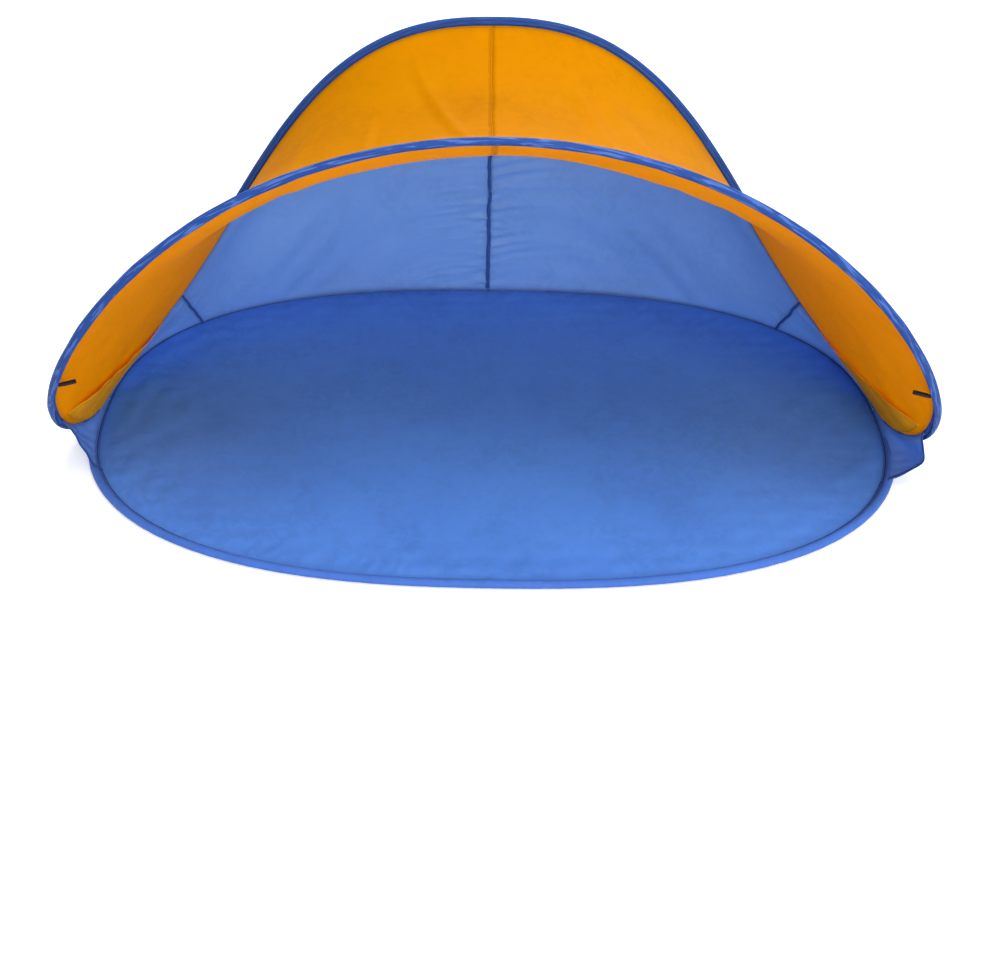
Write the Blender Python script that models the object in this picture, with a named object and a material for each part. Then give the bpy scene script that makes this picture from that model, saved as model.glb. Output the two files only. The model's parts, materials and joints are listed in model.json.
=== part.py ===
"""A pop-up beach tent: a saddle-shaped spring hoop over an oval groundsheet.

The tent stands on two closed spring-steel hoops, each in a sleeve of cloth. The floor hoop lies in
the hem of the oval groundsheet. The roof hoop is bent to a saddle: it touches the floor hem at the
left and the right, and rises from there to a front arch and to a lower rear arch. The roof cloth
spans the two arches, and its two low ends are the lobes that close the tent's sides. Walls join the
rear arch to the floor, and small gussets join the lobes to the floor in front.

+X is to the right of a person who looks in, +Y is to the back and +Z is up. The origin is on the
ground, in the middle of the groundsheet. All lengths are in metres.
"""

import math

import bpy
import numpy as np

# Driving dimensions of the groundsheet and its hem, to the middle of the hem
FLOOR_HALF_WIDTH = 0.996
FLOOR_HALF_DEPTH = 0.616
HEM_RADIUS = 0.0105
FLOOR_ROUND_SHARE = 2.5

# Driving dimensions of the roof hoop, to the middle of its sleeve
CONTACT_DEPTH = 0.05
FRONT_CROWN_HEIGHT = 0.981
FRONT_REACH = 0.45
FRONT_FLARE = 0.062
REAR_CROWN_HEIGHT = 0.861
REAR_REACH = 0.477
REAR_DRAW_IN = 0.193
SLEEVE_RADIUS = 0.0115

# Form of the arms, as shares of their height: profile seen from the side, then outline from the front
FRONT_RISE_SHARE = 3.5
FRONT_PROFILE_SHARE = 2.2
FRONT_SHOULDER_SHARE = 1.79
FRONT_ROUND_SHARE = 2.0
FLARE_SHARE = 8.0
REAR_RISE_SHARE = 1.25
REAR_PROFILE_SHARE = 1.7
REAR_SHOULDER_SHARE = 1.2
REAR_ROUND_SHARE = 2.43
DRAW_IN_SHARE = 4.0

# Cloth, steel and webbing
CLOTH = 0.001
HEM_CLOTH = 0.002
WIRE_RADIUS = 0.00175
FERRULE_WALL = 0.0008
FERRULE_LENGTH = 0.03
ROOF_DIP_DEPTH = 0.15
TAPE_WIDTH = 0.012
GUSSET_HEM_WIDTH = 0.012
POCKET_HEM_WIDTH = 0.009
POCKET_BULGE = 0.030
LOOP_LENGTH = 0.040
LOOP_WIDTH = 0.016
LOOP_DEPTH = 0.006
LOOP_WEB = 0.0012
LOOP_STAND_OFF = 0.0035

# Clearances: between faces that touch, and between a cloth edge and the tube that it is sewn to
GAP = 0.0003
SEAM_GAP = 0.0006
TAPE_GAP = 0.0009

# Edges that turn more than this are drawn sharp
SHARP_ANGLE = math.radians(50)

# Facets round each tube, and across each panel
TUBE_SIDES = 8
WIRE_SIDES = 6
ROOF_SPAN_STEPS = 10
WALL_SPAN_STEPS = 6
GUSSET_SPAN_STEPS = 2
POCKET_SPAN_STEPS = 8
POCKET_EDGE_SHARE = 0.04
FLOOR_FRONT_STEPS = 12
LOOP_ARC_STEPS = 4

# Stations along an arm, as shares of the way from the contact to the crown
LOBE_STEPS = 8
LOBE_END_SHARE = 0.40
ARCH_STEPS = 10
STATION_SHARES = np.concatenate(
    [
        np.linspace(0.0, LOBE_END_SHARE, LOBE_STEPS + 1),
        np.linspace(LOBE_END_SHARE, 1.0, ARCH_STEPS + 1)[1:],
    ]
)
ARM_STEPS = LOBE_STEPS + ARCH_STEPS

# Where pieces start and end, in steps from the contact along an arm
ROOF_START_STEPS = 1
PANEL_START_STEPS = 2
POCKET_TOP_STEPS = 5
GUSSET_TOP_STEPS = 5
SEAM_STEPS = 6
FRONT_SPLIT_STEPS = 6
REAR_SPLIT_STEPS = 8

# Where a wall meets the floor hem, against where it meets the arch
WALL_LEAN_SHARE = 0.68
WALL_BLEND_SHARE = 0.25
GUSSET_LEAN_SHARE = 0.82

# How much of the roof's dip the lobes have, and the shares of an arm between which it grows to all
LOBE_DIP_SHARE = 0.25
DIP_START_SHARE = 0.45
DIP_END_SHARE = 0.90

# Slack of the walls: the depth of their folds, and how many folds cross a panel and lean over it
BACK_WALL_FOLD = 0.012
SIDE_WALL_FOLD = 0.006
FOLDS_ACROSS_SHARE = 1.5
FOLDS_LEAN_SHARE = 0.6

# Where a webbing loop sits on the front arm, how far it turns in, and the step of its tangent
LOOP_STATION_SHARE = 0.385
LOOP_TURN = math.radians(50)
LOOP_TANGENT_SHARE = 0.03

# Materials: colour, roughness and metallic value
FINISHES = {
    "blue_cloth": ((0.045, 0.135, 0.50), 0.62, 0.0),
    "deep_blue_cloth": ((0.018, 0.055, 0.24), 0.66, 0.0),
    "orange_cloth": ((0.86, 0.33, 0.01), 0.62, 0.0),
    "black_webbing": ((0.012, 0.012, 0.014), 0.80, 0.0),
    "spring_steel": ((0.46, 0.47, 0.49), 0.35, 1.0),
}

HEM_FLAT = HEM_RADIUS * math.cos(math.pi / TUBE_SIDES)
SLEEVE_FLAT = SLEEVE_RADIUS * math.cos(math.pi / TUBE_SIDES)
HEM_HEIGHT = HEM_FLAT
HINGE_HEIGHT = HEM_HEIGHT + HEM_FLAT
CONTACT_HEIGHT = HINGE_HEIGHT + GAP + SLEEVE_FLAT
HINGE = np.array([0.0, CONTACT_DEPTH, HINGE_HEIGHT])
ROOF_RING_CENTRE = np.array([0.0, CONTACT_DEPTH, CONTACT_HEIGHT])
FLOOR_RING_CENTRE = np.array([0.0, 0.0, HEM_HEIGHT])
TENT_MIDDLE = np.array([0.0, CONTACT_DEPTH, FRONT_CROWN_HEIGHT / 2.0])
BASE = np.zeros(3)
MIRROR_X = np.array([-1.0, 1.0, 1.0])
FRONT, REAR = -1, 1
RIGHT, LEFT = 1, -1
SIDES = ((RIGHT, "right"), (LEFT, "left"))


def unit(vectors):
    """Return the vectors at length one."""
    return vectors / np.linalg.norm(vectors, axis=-1, keepdims=True)


def across(tangents, vectors):
    """Return the unit part of the vectors that is square to the tangents."""
    along = np.sum(vectors * tangents, axis=-1, keepdims=True)
    return unit(vectors - along * tangents)


def smooth_share(value):
    """Ease a share from 0 to 1."""
    share = np.clip(value, 0.0, 1.0)
    return share * share * (3.0 - 2.0 * share)


def hump(shares):
    """Return a parabola over the shares: 0 at both ends and 1 in the middle."""
    return 4.0 * shares * (1.0 - shares)


# The floor hem


def hem_point(angle):
    """Return the middle of the hem at an angle round the oval."""
    power = 2.0 / FLOOR_ROUND_SHARE
    cosine, sine = math.cos(angle), math.sin(angle)
    return np.array(
        [
            FLOOR_HALF_WIDTH * math.copysign(abs(cosine) ** power, cosine),
            FLOOR_HALF_DEPTH * math.copysign(abs(sine) ** power, sine),
            HEM_HEIGHT,
        ]
    )


def hem_angle(depth):
    """Return the angle round the oval, on the right, of a depth along Y."""
    share = min(abs(depth) / FLOOR_HALF_DEPTH, 1.0)
    return math.copysign(math.asin(share ** (FLOOR_ROUND_SHARE / 2.0)), depth)


CONTACT_WIDTH = float(hem_point(hem_angle(CONTACT_DEPTH))[0])


# The roof hoop


def arm_point(share, end):
    """Return the middle of the right front or rear arm at a share of its length."""
    height = math.sin(share * math.pi / 2.0) ** 2
    low = 1.0 - height
    if end == FRONT:
        profile = (1.0 - low**FRONT_RISE_SHARE) ** (1.0 / FRONT_PROFILE_SHARE)
        spread = CONTACT_WIDTH + FRONT_FLARE * (1.0 - low**FLARE_SHARE)
        outline = (1.0 - height**FRONT_SHOULDER_SHARE) ** (1.0 / FRONT_ROUND_SHARE)
        reach, crown = -FRONT_REACH, FRONT_CROWN_HEIGHT
    else:
        profile = (1.0 - low**REAR_RISE_SHARE) ** (1.0 / REAR_PROFILE_SHARE)
        spread = CONTACT_WIDTH - REAR_DRAW_IN * (1.0 - low**DRAW_IN_SHARE)
        outline = (1.0 - height**REAR_SHOULDER_SHARE) ** (1.0 / REAR_ROUND_SHARE)
        reach, crown = REAR_REACH, REAR_CROWN_HEIGHT
    return np.array(
        [
            spread * outline,
            CONTACT_DEPTH + reach * profile,
            CONTACT_HEIGHT + (crown - CONTACT_HEIGHT) * height,
        ]
    )


class Ring:
    """A closed centre line with its tangents and outward directions.

    The stations run from the front centre over the right side to the rear centre, and back over the
    left side. `contact` is the station where the hoops touch on the right.
    """

    def __init__(self, right_points, contact, centre):
        left_points = right_points[-2:0:-1] * MIRROR_X
        self.points = np.vstack([right_points, left_points])
        self.count = len(self.points)
        self.contact = contact
        ahead = np.roll(self.points, -1, axis=0)
        behind = np.roll(self.points, 1, axis=0)
        self.tangents = unit(ahead - behind)
        self.outward = across(self.tangents, self.points - centre)

    def station(self, step, side):
        """Return the station that lies `step` behind the contact, or in front where it is negative."""
        if side == RIGHT:
            return (self.contact + step) % self.count
        return (self.count - self.contact - step) % self.count

    def edge(self, station, target, radius):
        """Return where cloth that runs to `target` leaves a tube of the given radius."""
        point = self.points[station]
        direction = across(self.tangents[station], target - point)
        return point + direction * (radius + SEAM_GAP)


def roof_ring():
    """Build the centre line of the saddle-shaped roof hoop."""
    front = [arm_point(share, FRONT) for share in STATION_SHARES[::-1]]
    rear = [arm_point(share, REAR) for share in STATION_SHARES[1:]]
    right = np.array(front + rear)
    right[0][0] = 0.0
    right[-1][0] = 0.0
    return Ring(right, ARM_STEPS, ROOF_RING_CENTRE)


def wall_foot_angle(share):
    """Return where on the hem a wall stands that leaves the rear arm at a share of its length."""
    level = hem_angle(arm_point(share, REAR)[1])
    spread = (math.pi / 2.0) * share**WALL_LEAN_SHARE
    blend = float(smooth_share(share / WALL_BLEND_SHARE))
    return (1.0 - blend) * level + blend * spread


def gusset_foot_angle(share):
    """Return where on the hem a gusset stands that leaves the front arm at a share of its length."""
    depth = arm_point(share, FRONT)[1] - CONTACT_DEPTH
    return hem_angle(CONTACT_DEPTH + GUSSET_LEAN_SHARE * depth)


def floor_ring():
    """Build the centre line of the floor hem, with a station under each end of a wall."""
    gusset = [gusset_foot_angle(share) for share in STATION_SHARES[GUSSET_TOP_STEPS::-1]]
    front = list(np.linspace(-math.pi / 2.0, gusset[0], FLOOR_FRONT_STEPS + 1)[:-1])
    rear = [wall_foot_angle(share) for share in STATION_SHARES[1:]]
    right = np.array([hem_point(angle) for angle in front + gusset + rear])
    right[0][0] = 0.0
    right[-1][0] = 0.0
    return Ring(right, FLOOR_FRONT_STEPS + GUSSET_TOP_STEPS, FLOOR_RING_CENTRE)


ROOF_RING = roof_ring()
FLOOR_RING = floor_ring()


# Making objects


def finish_material(name):
    """Return the material of a finish, made on its first use."""
    material = bpy.data.materials.get(name)
    if material is None:
        colour, roughness, metallic = FINISHES[name]
        material = bpy.data.materials.new(name)
        material.use_nodes = True
        shader = material.node_tree.nodes["Principled BSDF"]
        shader.inputs["Base Color"].default_value = (*colour, 1.0)
        shader.inputs["Roughness"].default_value = roughness
        shader.inputs["Metallic"].default_value = metallic
        material.diffuse_color = (*colour, 1.0)
    return material


def add_object(name, points, faces, finish, pivot):
    """Add one closed body, given in world coordinates, with its origin on the pivot."""
    mesh = bpy.data.meshes.new(name)
    mesh.from_pydata((np.asarray(points) - pivot).tolist(), [], faces)
    mesh.materials.append(finish_material(finish))
    mesh.validate()
    mesh.shade_smooth()
    mesh.set_sharp_from_angle(angle=SHARP_ANGLE)
    obj = bpy.data.objects.new(name, mesh)
    obj.location = pivot
    bpy.context.collection.objects.link(obj)
    return obj


def ring_of_points(centres, sides, outward, tangents, radius):
    """Return rings of points round the centres, with a flat facing outwards."""
    turns = (np.arange(sides) + 0.5) * (2.0 * math.pi / sides)
    upward = np.cross(tangents, outward)
    spokes = (
        np.cos(turns)[None, :, None] * outward[:, None, :]
        + np.sin(turns)[None, :, None] * upward[:, None, :]
    )
    return centres[:, None, :] + radius * spokes


def skin_faces(rows, sides, first, inside):
    """Return the triangles between rings of points, cut alike on both skins, turned on an inside."""
    faces = []
    for row in range(rows - 1):
        for side in range(sides):
            near = first + row * sides
            following = (side + 1) % sides
            far_corner = near + sides + following
            first_half = [near + side, near + following, far_corner]
            second_half = [near + side, far_corner, near + sides + side]
            for face in (first_half, second_half):
                faces.append(face[::-1] if inside else face)
    return faces


def shortened(centres, tangents, trim):
    """Pull both ends of a centre line in by a trim."""
    centres = centres.copy()
    centres[0] = centres[0] + tangents[0] * trim
    centres[-1] = centres[-1] - tangents[-1] * trim
    return centres


def add_pipe(name, centres, tangents, outward, radius, bore, sides, finish, pivot):
    """Add a tube with open ends along a centre line."""
    rows = len(centres)
    outer = ring_of_points(centres, sides, outward, tangents, radius).reshape(-1, 3)
    inner = ring_of_points(centres, sides, outward, tangents, bore).reshape(-1, 3)
    faces = skin_faces(rows, sides, 0, False) + skin_faces(rows, sides, rows * sides, True)
    last = (rows - 1) * sides
    shift = rows * sides
    for side in range(sides):
        following = (side + 1) % sides
        faces.append([side + shift, following + shift, following, side])
        faces.append([last + side, last + following, last + following + shift, last + side + shift])
    return add_object(name, np.vstack([outer, inner]), faces, finish, pivot)


def add_rod(name, centres, tangents, outward, radius, sides, finish, pivot):
    """Add a solid rod along a centre line."""
    rows = len(centres)
    points = ring_of_points(centres, sides, outward, tangents, radius).reshape(-1, 3)
    faces = skin_faces(rows, sides, 0, False)
    last = (rows - 1) * sides
    faces.append(list(range(sides))[::-1])
    faces.append([last + side for side in range(sides)])
    return add_object(name, points, faces, finish, pivot)


def grid_normals(grid):
    """Return the unit normals of a grid of points, facing the inside of the tent."""
    along = np.gradient(grid, axis=0)
    crosswise = np.gradient(grid, axis=1)
    normals = unit(np.cross(along, crosswise))
    middle = tuple(size // 2 for size in grid.shape[:2])
    facing = np.dot(normals[middle], TENT_MIDDLE - grid[middle])
    return normals if facing > 0.0 else -normals


def add_sheet(name, grid, thickness, finish, lift=0.0):
    """Add a sheet of cloth about a grid of points, lifted towards the inside of the tent.

    Both skins are cut into the same triangles, so that the cloth is equally thick all over.
    """
    normals = grid_normals(grid)
    rows, columns = grid.shape[:2]
    inner = (grid + normals * (lift + thickness / 2.0)).reshape(-1, 3)
    outer = (grid + normals * (lift - thickness / 2.0)).reshape(-1, 3)
    shift = rows * columns
    turned = np.dot(np.cross(grid[1, 0] - grid[0, 0], grid[0, 1] - grid[0, 0]), normals[0, 0]) < 0.0
    faces = []
    for row in range(rows - 1):
        for column in range(columns - 1):
            near = row * columns + column
            far_corner = near + columns + 1
            for face in ([near, near + columns, far_corner], [near, far_corner, near + 1]):
                faces.append(face)
                faces.append([corner + shift for corner in face[::-1]])
    rim = [row * columns for row in range(rows)]
    rim += [(rows - 1) * columns + column for column in range(1, columns)]
    rim += [row * columns + columns - 1 for row in range(rows - 2, -1, -1)]
    rim += list(range(columns - 2, 0, -1))
    for corner, following in zip(rim, rim[1:] + rim[:1]):
        faces.append([following, corner, corner + shift, following + shift])
    if turned:
        faces = [face[::-1] for face in faces]
    return add_object(name, np.vstack([inner, outer]), faces, finish, BASE)


# Hoops and their sleeves


def ring_run(ring, first, last):
    """Return the centres, tangents and outward directions of a run of stations."""
    stations = [index % ring.count for index in range(first, last + 1)]
    centres = shortened(ring.points[stations], ring.tangents[stations], GAP / 2.0)
    return centres, ring.tangents[stations], ring.outward[stations]


def wire_seat(bore):
    """Return how far a wire's middle lies from its sleeve's, so that its ferrule has room."""
    return bore * math.cos(math.pi / TUBE_SIDES) - WIRE_RADIUS - FERRULE_WALL - 2.0 * GAP


def add_sleeved_wire(ring, first, last, radius, sleeve_name, wire_name, pivot):
    """Add a run of a sleeve and the wire inside it."""
    centres, tangents, outward = ring_run(ring, first, last)
    bore = radius - CLOTH
    add_pipe(sleeve_name, centres, tangents, outward, radius, bore, TUBE_SIDES, "blue_cloth", pivot)
    wire = centres + outward * wire_seat(bore)
    add_rod(wire_name, wire, tangents, outward, WIRE_RADIUS, WIRE_SIDES, "spring_steel", pivot)


def add_ferrule(ring, station, radius, name, pivot):
    """Add the ferrule that joins the two ends of a hoop, round its wire at a station."""
    stations = [station - 1, station, station + 1]
    wire = ring.points[stations] + ring.outward[stations] * wire_seat(radius - CLOTH)
    reach = FERRULE_LENGTH / 2.0
    behind = wire[1] + unit(wire[0] - wire[1]) * reach
    ahead = wire[1] + unit(wire[2] - wire[1]) * reach
    centres = np.array([behind, wire[1], ahead])
    frame = [station, station, station]
    bore = WIRE_RADIUS + GAP
    add_pipe(
        name,
        centres,
        ring.tangents[frame],
        ring.outward[frame],
        bore + FERRULE_WALL,
        bore,
        TUBE_SIDES,
        "spring_steel",
        pivot,
    )


def add_roof_hoop():
    """Add the four runs of the roof hoop: two arches, and the two flexing lobes between them."""
    ring = ROOF_RING
    right, left = ring.station(0, RIGHT), ring.station(0, LEFT)
    runs = (
        (
            right - FRONT_SPLIT_STEPS,
            right + REAR_SPLIT_STEPS,
            "lobe_sleeve_right",
            "lobe_wire_right",
            BASE,
        ),
        (right + REAR_SPLIT_STEPS, left - REAR_SPLIT_STEPS, "rear_arch_sleeve", "rear_arch_wire", HINGE),
        (left - REAR_SPLIT_STEPS, left + FRONT_SPLIT_STEPS, "lobe_sleeve_left", "lobe_wire_left", BASE),
        (
            left + FRONT_SPLIT_STEPS,
            right - FRONT_SPLIT_STEPS + ring.count,
            "front_arch_sleeve",
            "front_arch_wire",
            HINGE,
        ),
    )
    for first, last, sleeve_name, wire_name, pivot in runs:
        add_sleeved_wire(ring, first, last, SLEEVE_RADIUS, sleeve_name, wire_name, pivot)
    add_ferrule(ring, ring.count // 2, SLEEVE_RADIUS, "roof_hoop_ferrule", HINGE)


def add_floor_hoop():
    """Add the front and rear runs of the floor hoop, which part at the fold line."""
    ring = FLOOR_RING
    right, left = ring.station(0, RIGHT), ring.station(0, LEFT)
    add_sleeved_wire(ring, right, left, HEM_RADIUS, "floor_hem_rear", "floor_hoop_rear", BASE)
    add_sleeved_wire(
        ring, left, right + ring.count, HEM_RADIUS, "floor_hem_front", "floor_hoop_front", HINGE
    )
    add_ferrule(ring, ring.count // 2, HEM_RADIUS, "floor_hoop_ferrule", BASE)


# The groundsheet


def add_floor_panel(name, first, last, end, pivot):
    """Add the front or rear part of the groundsheet, inside its hem."""
    ring = FLOOR_RING
    stations = [index % ring.count for index in range(first, last + 1)]
    inset = HEM_RADIUS * math.sin(math.pi / TUBE_SIDES) + CLOTH + SEAM_GAP
    rim = ring.points[stations] - ring.outward[stations] * inset
    rim[:, 2] = 0.0
    fold = CONTACT_DEPTH + end * GAP / 2.0
    rim[0][1] = fold
    rim[-1][1] = fold
    count = len(rim)
    half = count // 2
    top = rim + np.array([0.0, 0.0, CLOTH])
    faces = []
    for index in range(count):
        following = (index + 1) % count
        faces.append([following, index, index + count, following + count])
    for index in range(half):
        mate = count - 1 - index
        if mate - index > 2:
            faces.append([index, index + 1, mate - 1, mate])
            faces.append([corner + count for corner in (mate, mate - 1, index + 1, index)])
        elif mate - index == 2:
            faces.append([index, index + 1, mate])
            faces.append([corner + count for corner in (mate, index + 1, index)])
    clockwise = [face[::-1] for face in faces]
    return add_object(name, np.vstack([rim, top]), clockwise, "blue_cloth", pivot)


def add_groundsheet():
    """Add both parts of the groundsheet."""
    ring = FLOOR_RING
    right, left = ring.station(0, RIGHT), ring.station(0, LEFT)
    add_floor_panel("floor_rear", right, left, REAR, BASE)
    add_floor_panel("floor_front", left, right + ring.count, FRONT, HINGE)


# The roof


def roof_line(step, side, shares):
    """Return points of the roof from the rear arm to the front arm, at a station of both."""
    ring = ROOF_RING
    rear, front = ring.station(step, side), ring.station(-step, side)
    crown_span = np.linalg.norm(ring.points[0] - ring.points[ring.count // 2])
    span = np.linalg.norm(ring.points[rear] - ring.points[front])
    inward = -unit(ring.outward[rear] + ring.outward[front])
    rise = smooth_share((STATION_SHARES[step] - DIP_START_SHARE) / (DIP_END_SHARE - DIP_START_SHARE))
    fullness = LOBE_DIP_SHARE + (1.0 - LOBE_DIP_SHARE) * float(rise)
    dip = ROOF_DIP_DEPTH * fullness * (span / crown_span) ** 2
    middle = (ring.points[rear] + ring.points[front]) / 2.0 + inward * dip
    start = ring.edge(rear, middle, SLEEVE_RADIUS)
    end = ring.edge(front, middle, SLEEVE_RADIUS)
    shares = shares[:, None]
    return start + (end - start) * shares + inward * dip * hump(shares)


def part_columns(grid, trim=GAP / 2.0):
    """Pull the first and last column of a grid in, so that panels that meet keep a gap."""
    grid = grid.copy()
    grid[:, 0] += unit(grid[:, 1] - grid[:, 0]) * trim
    grid[:, -1] += unit(grid[:, -2] - grid[:, -1]) * trim
    return grid


def strip_columns(before, middle, after, width):
    """Return a strip of a width over the middle one of three columns of points."""
    half = width / 2.0
    left = middle + unit(before - middle) * half
    right = middle + unit(after - middle) * half
    return np.stack([left, middle, right], axis=1)


def add_roof():
    """Add the two halves of the roof and the tape along its centre seam."""
    shares = np.linspace(0.0, 1.0, ROOF_SPAN_STEPS + 1)
    for side, word in SIDES:
        steps = range(ROOF_START_STEPS, ARM_STEPS + 1)
        grid = np.stack([roof_line(step, side, shares) for step in steps], axis=1)
        add_sheet(f"roof_{word}", part_columns(grid), CLOTH, "orange_cloth")
    columns = [
        roof_line(ARM_STEPS - 1, RIGHT, shares),
        roof_line(ARM_STEPS, RIGHT, shares),
        roof_line(ARM_STEPS - 1, LEFT, shares),
    ]
    strip = strip_columns(*columns, TAPE_WIDTH)
    add_sheet("roof_seam_tape", strip, CLOTH, "orange_cloth", lift=CLOTH + TAPE_GAP)


# Walls and gussets


def panel_column(step, side, end, rows):
    """Return points from the roof hoop down to the floor hem, at a station of both."""
    roof_station = ROOF_RING.station(end * step, side)
    floor_station = FLOOR_RING.station(end * step, side)
    foot = FLOOR_RING.points[floor_station]
    head = ROOF_RING.points[roof_station]
    start = ROOF_RING.edge(roof_station, foot, SLEEVE_RADIUS)
    finish = FLOOR_RING.edge(floor_station, head, HEM_RADIUS)
    shares = np.linspace(0.0, 1.0, rows + 1)[:, None]
    return start + (finish - start) * shares


def panel_grid(first, last, side, end, rows):
    """Return the grid of points of a wall or gusset between two stations."""
    columns = [panel_column(step, side, end, rows) for step in range(first, last + 1)]
    return np.stack(columns, axis=1)


def slack(grid, depth):
    """Lay soft leaning folds of a depth into a panel, which fade out towards its four edges."""
    rows, columns = grid.shape[:2]
    down = np.linspace(0.0, 1.0, rows)[:, None]
    along = np.linspace(0.0, 1.0, columns)[None, :]
    wave = np.cos(2.0 * math.pi * (FOLDS_ACROSS_SHARE * along + FOLDS_LEAN_SHARE * down))
    fade = hump(down) * hump(along)
    return grid + grid_normals(grid) * (depth * wave * fade)[:, :, None]


def add_walls():
    """Add the back and side walls, and the tapes along the seams between them."""
    lift = CLOTH + TAPE_GAP
    for side, word in SIDES:
        back = panel_grid(SEAM_STEPS, ARM_STEPS, side, REAR, WALL_SPAN_STEPS)
        back = slack(back, BACK_WALL_FOLD)
        add_sheet(f"back_wall_{word}", part_columns(back), CLOTH, "blue_cloth")
        flank = panel_grid(PANEL_START_STEPS, SEAM_STEPS, side, REAR, WALL_SPAN_STEPS)
        flank = slack(flank, SIDE_WALL_FOLD)
        add_sheet(f"side_wall_{word}", part_columns(flank), CLOTH, "blue_cloth")
        seam = strip_columns(flank[:, -2], flank[:, -1], back[:, 1], TAPE_WIDTH)
        add_sheet(f"side_seam_tape_{word}", seam, CLOTH, "deep_blue_cloth", lift=lift)
    centre = panel_column(ARM_STEPS, RIGHT, REAR, WALL_SPAN_STEPS)
    beside = panel_column(ARM_STEPS - 1, RIGHT, REAR, WALL_SPAN_STEPS)
    seam = strip_columns(beside, centre, beside * MIRROR_X, TAPE_WIDTH)
    add_sheet("back_seam_tape", seam, CLOTH, "deep_blue_cloth", lift=lift)


def add_gussets():
    """Add the gussets in front of the contacts, and the hems along their front edges."""
    for side, word in SIDES:
        grid = panel_grid(PANEL_START_STEPS, GUSSET_TOP_STEPS, side, FRONT, GUSSET_SPAN_STEPS)
        add_sheet(f"gusset_{word}", part_columns(grid), CLOTH, "blue_cloth")
        edge = grid[:, -1]
        forward = unit(edge - grid[:, -2])
        near = edge + forward * GAP
        far = near + forward * GUSSET_HEM_WIDTH
        hem = np.stack([near, far], axis=1)
        add_sheet(f"gusset_hem_{word}", hem, HEM_CLOTH, "deep_blue_cloth")


# Pockets inside the lobes


def pocket_line(step, side, shares):
    """Return points across a pocket, from its rear side to its front side."""
    line = roof_line(step, side, shares)
    beyond = roof_line(step + 1, side, shares)
    along = np.gradient(line, axis=0)
    inward = across(unit(along), np.cross(along, beyond - line))
    inward = inward * math.copysign(1.0, -side * inward[len(line) // 2][0])
    fullness = float(smooth_share((step - ROOF_START_STEPS) / (POCKET_TOP_STEPS - ROOF_START_STEPS)))
    lift = (CLOTH + HEM_CLOTH) / 2.0 + GAP
    bulge = POCKET_BULGE * fullness * hump(shares)
    return line + inward * (lift + bulge)[:, None]


def add_pockets():
    """Add the pocket inside each lobe, and the hem of its mouth."""
    shares = np.linspace(POCKET_EDGE_SHARE, 1.0 - POCKET_EDGE_SHARE, POCKET_SPAN_STEPS + 1)
    for side, word in SIDES:
        steps = range(ROOF_START_STEPS, POCKET_TOP_STEPS + 1)
        grid = np.stack([pocket_line(step, side, shares) for step in steps], axis=1)
        add_sheet(f"pocket_{word}", grid, CLOTH, "orange_cloth")
        mouth = grid[:, -1]
        upward = unit(pocket_line(POCKET_TOP_STEPS + 1, side, shares) - mouth)
        near = mouth + upward * GAP
        far = near + upward * POCKET_HEM_WIDTH
        hem = np.stack([near, far], axis=1)
        add_sheet(f"pocket_hem_{word}", hem, HEM_CLOTH, "orange_cloth")


# Webbing loops on the front arch


def stadium(length, depth):
    """Return the outline of a flat loop, from its root, as shares along and across it."""
    radius = depth / 2.0
    turns = np.linspace(-math.pi / 2.0, math.pi / 2.0, LOOP_ARC_STEPS + 1)
    tip = [(length - radius + radius * math.cos(turn), radius * math.sin(turn)) for turn in turns]
    root = [(radius - radius * math.cos(turn), -radius * math.sin(turn)) for turn in turns]
    return np.array(tip + root)


def loop_frame(side):
    """Return the pivot of a webbing loop and its directions along, across and through it."""
    share = LOOP_STATION_SHARE
    near = arm_point(share, FRONT)
    step = LOOP_TANGENT_SHARE
    tangent = unit(arm_point(share + step, FRONT) - arm_point(share - step, FRONT))
    outward = across(tangent, near - ROOF_RING_CENTRE)
    to_rear = across(tangent, arm_point(share, REAR) - near)
    inward = across(tangent, -outward - np.dot(-outward, to_rear) * to_rear)
    along = math.cos(LOOP_TURN) * to_rear + math.sin(LOOP_TURN) * inward
    mirror = MIRROR_X if side == LEFT else np.ones(3)
    pivot = near + along * (SLEEVE_RADIUS + LOOP_STAND_OFF)
    through = np.cross(tangent, along)
    return pivot * mirror, along * mirror, tangent * mirror, through * mirror


def add_tie_loops():
    """Add the folded webbing loop near each low end of the front arch."""
    for side, word in SIDES:
        pivot, along, tangent, through = loop_frame(side)
        root = pivot - along * (LOOP_STAND_OFF - SEAM_GAP)
        outer = stadium(LOOP_LENGTH, LOOP_DEPTH)
        inner = stadium(LOOP_LENGTH - 2.0 * LOOP_WEB, LOOP_DEPTH - 2.0 * LOOP_WEB)
        inner = inner + np.array([LOOP_WEB, 0.0])
        points = []
        for outline in (outer, inner):
            for half in (-LOOP_WIDTH / 2.0, LOOP_WIDTH / 2.0):
                flat = outline[:, :1] * along + outline[:, 1:] * through
                points.append(root + flat + tangent * half)
        count = len(outer)
        faces = []
        for index in range(count):
            following = (index + 1) % count
            quads = ((0, 1), (3, 2), (1, 3), (2, 0))
            for start, finish in quads:
                faces.append(
                    [
                        start * count + index,
                        start * count + following,
                        finish * count + following,
                        finish * count + index,
                    ]
                )
        if side == LEFT:
            faces = [face[::-1] for face in faces]
        add_object(f"tie_loop_{word}", np.vstack(points), faces, "black_webbing", pivot)


def clear_scene():
    """Remove the objects that the file opens with."""
    for obj in list(bpy.data.objects):
        bpy.data.objects.remove(obj)


def main():
    """Build the whole tent."""
    clear_scene()
    add_groundsheet()
    add_floor_hoop()
    add_roof_hoop()
    add_roof()
    add_walls()
    add_gussets()
    add_pockets()
    add_tie_loops()
    bpy.context.view_layer.update()


main()
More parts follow.
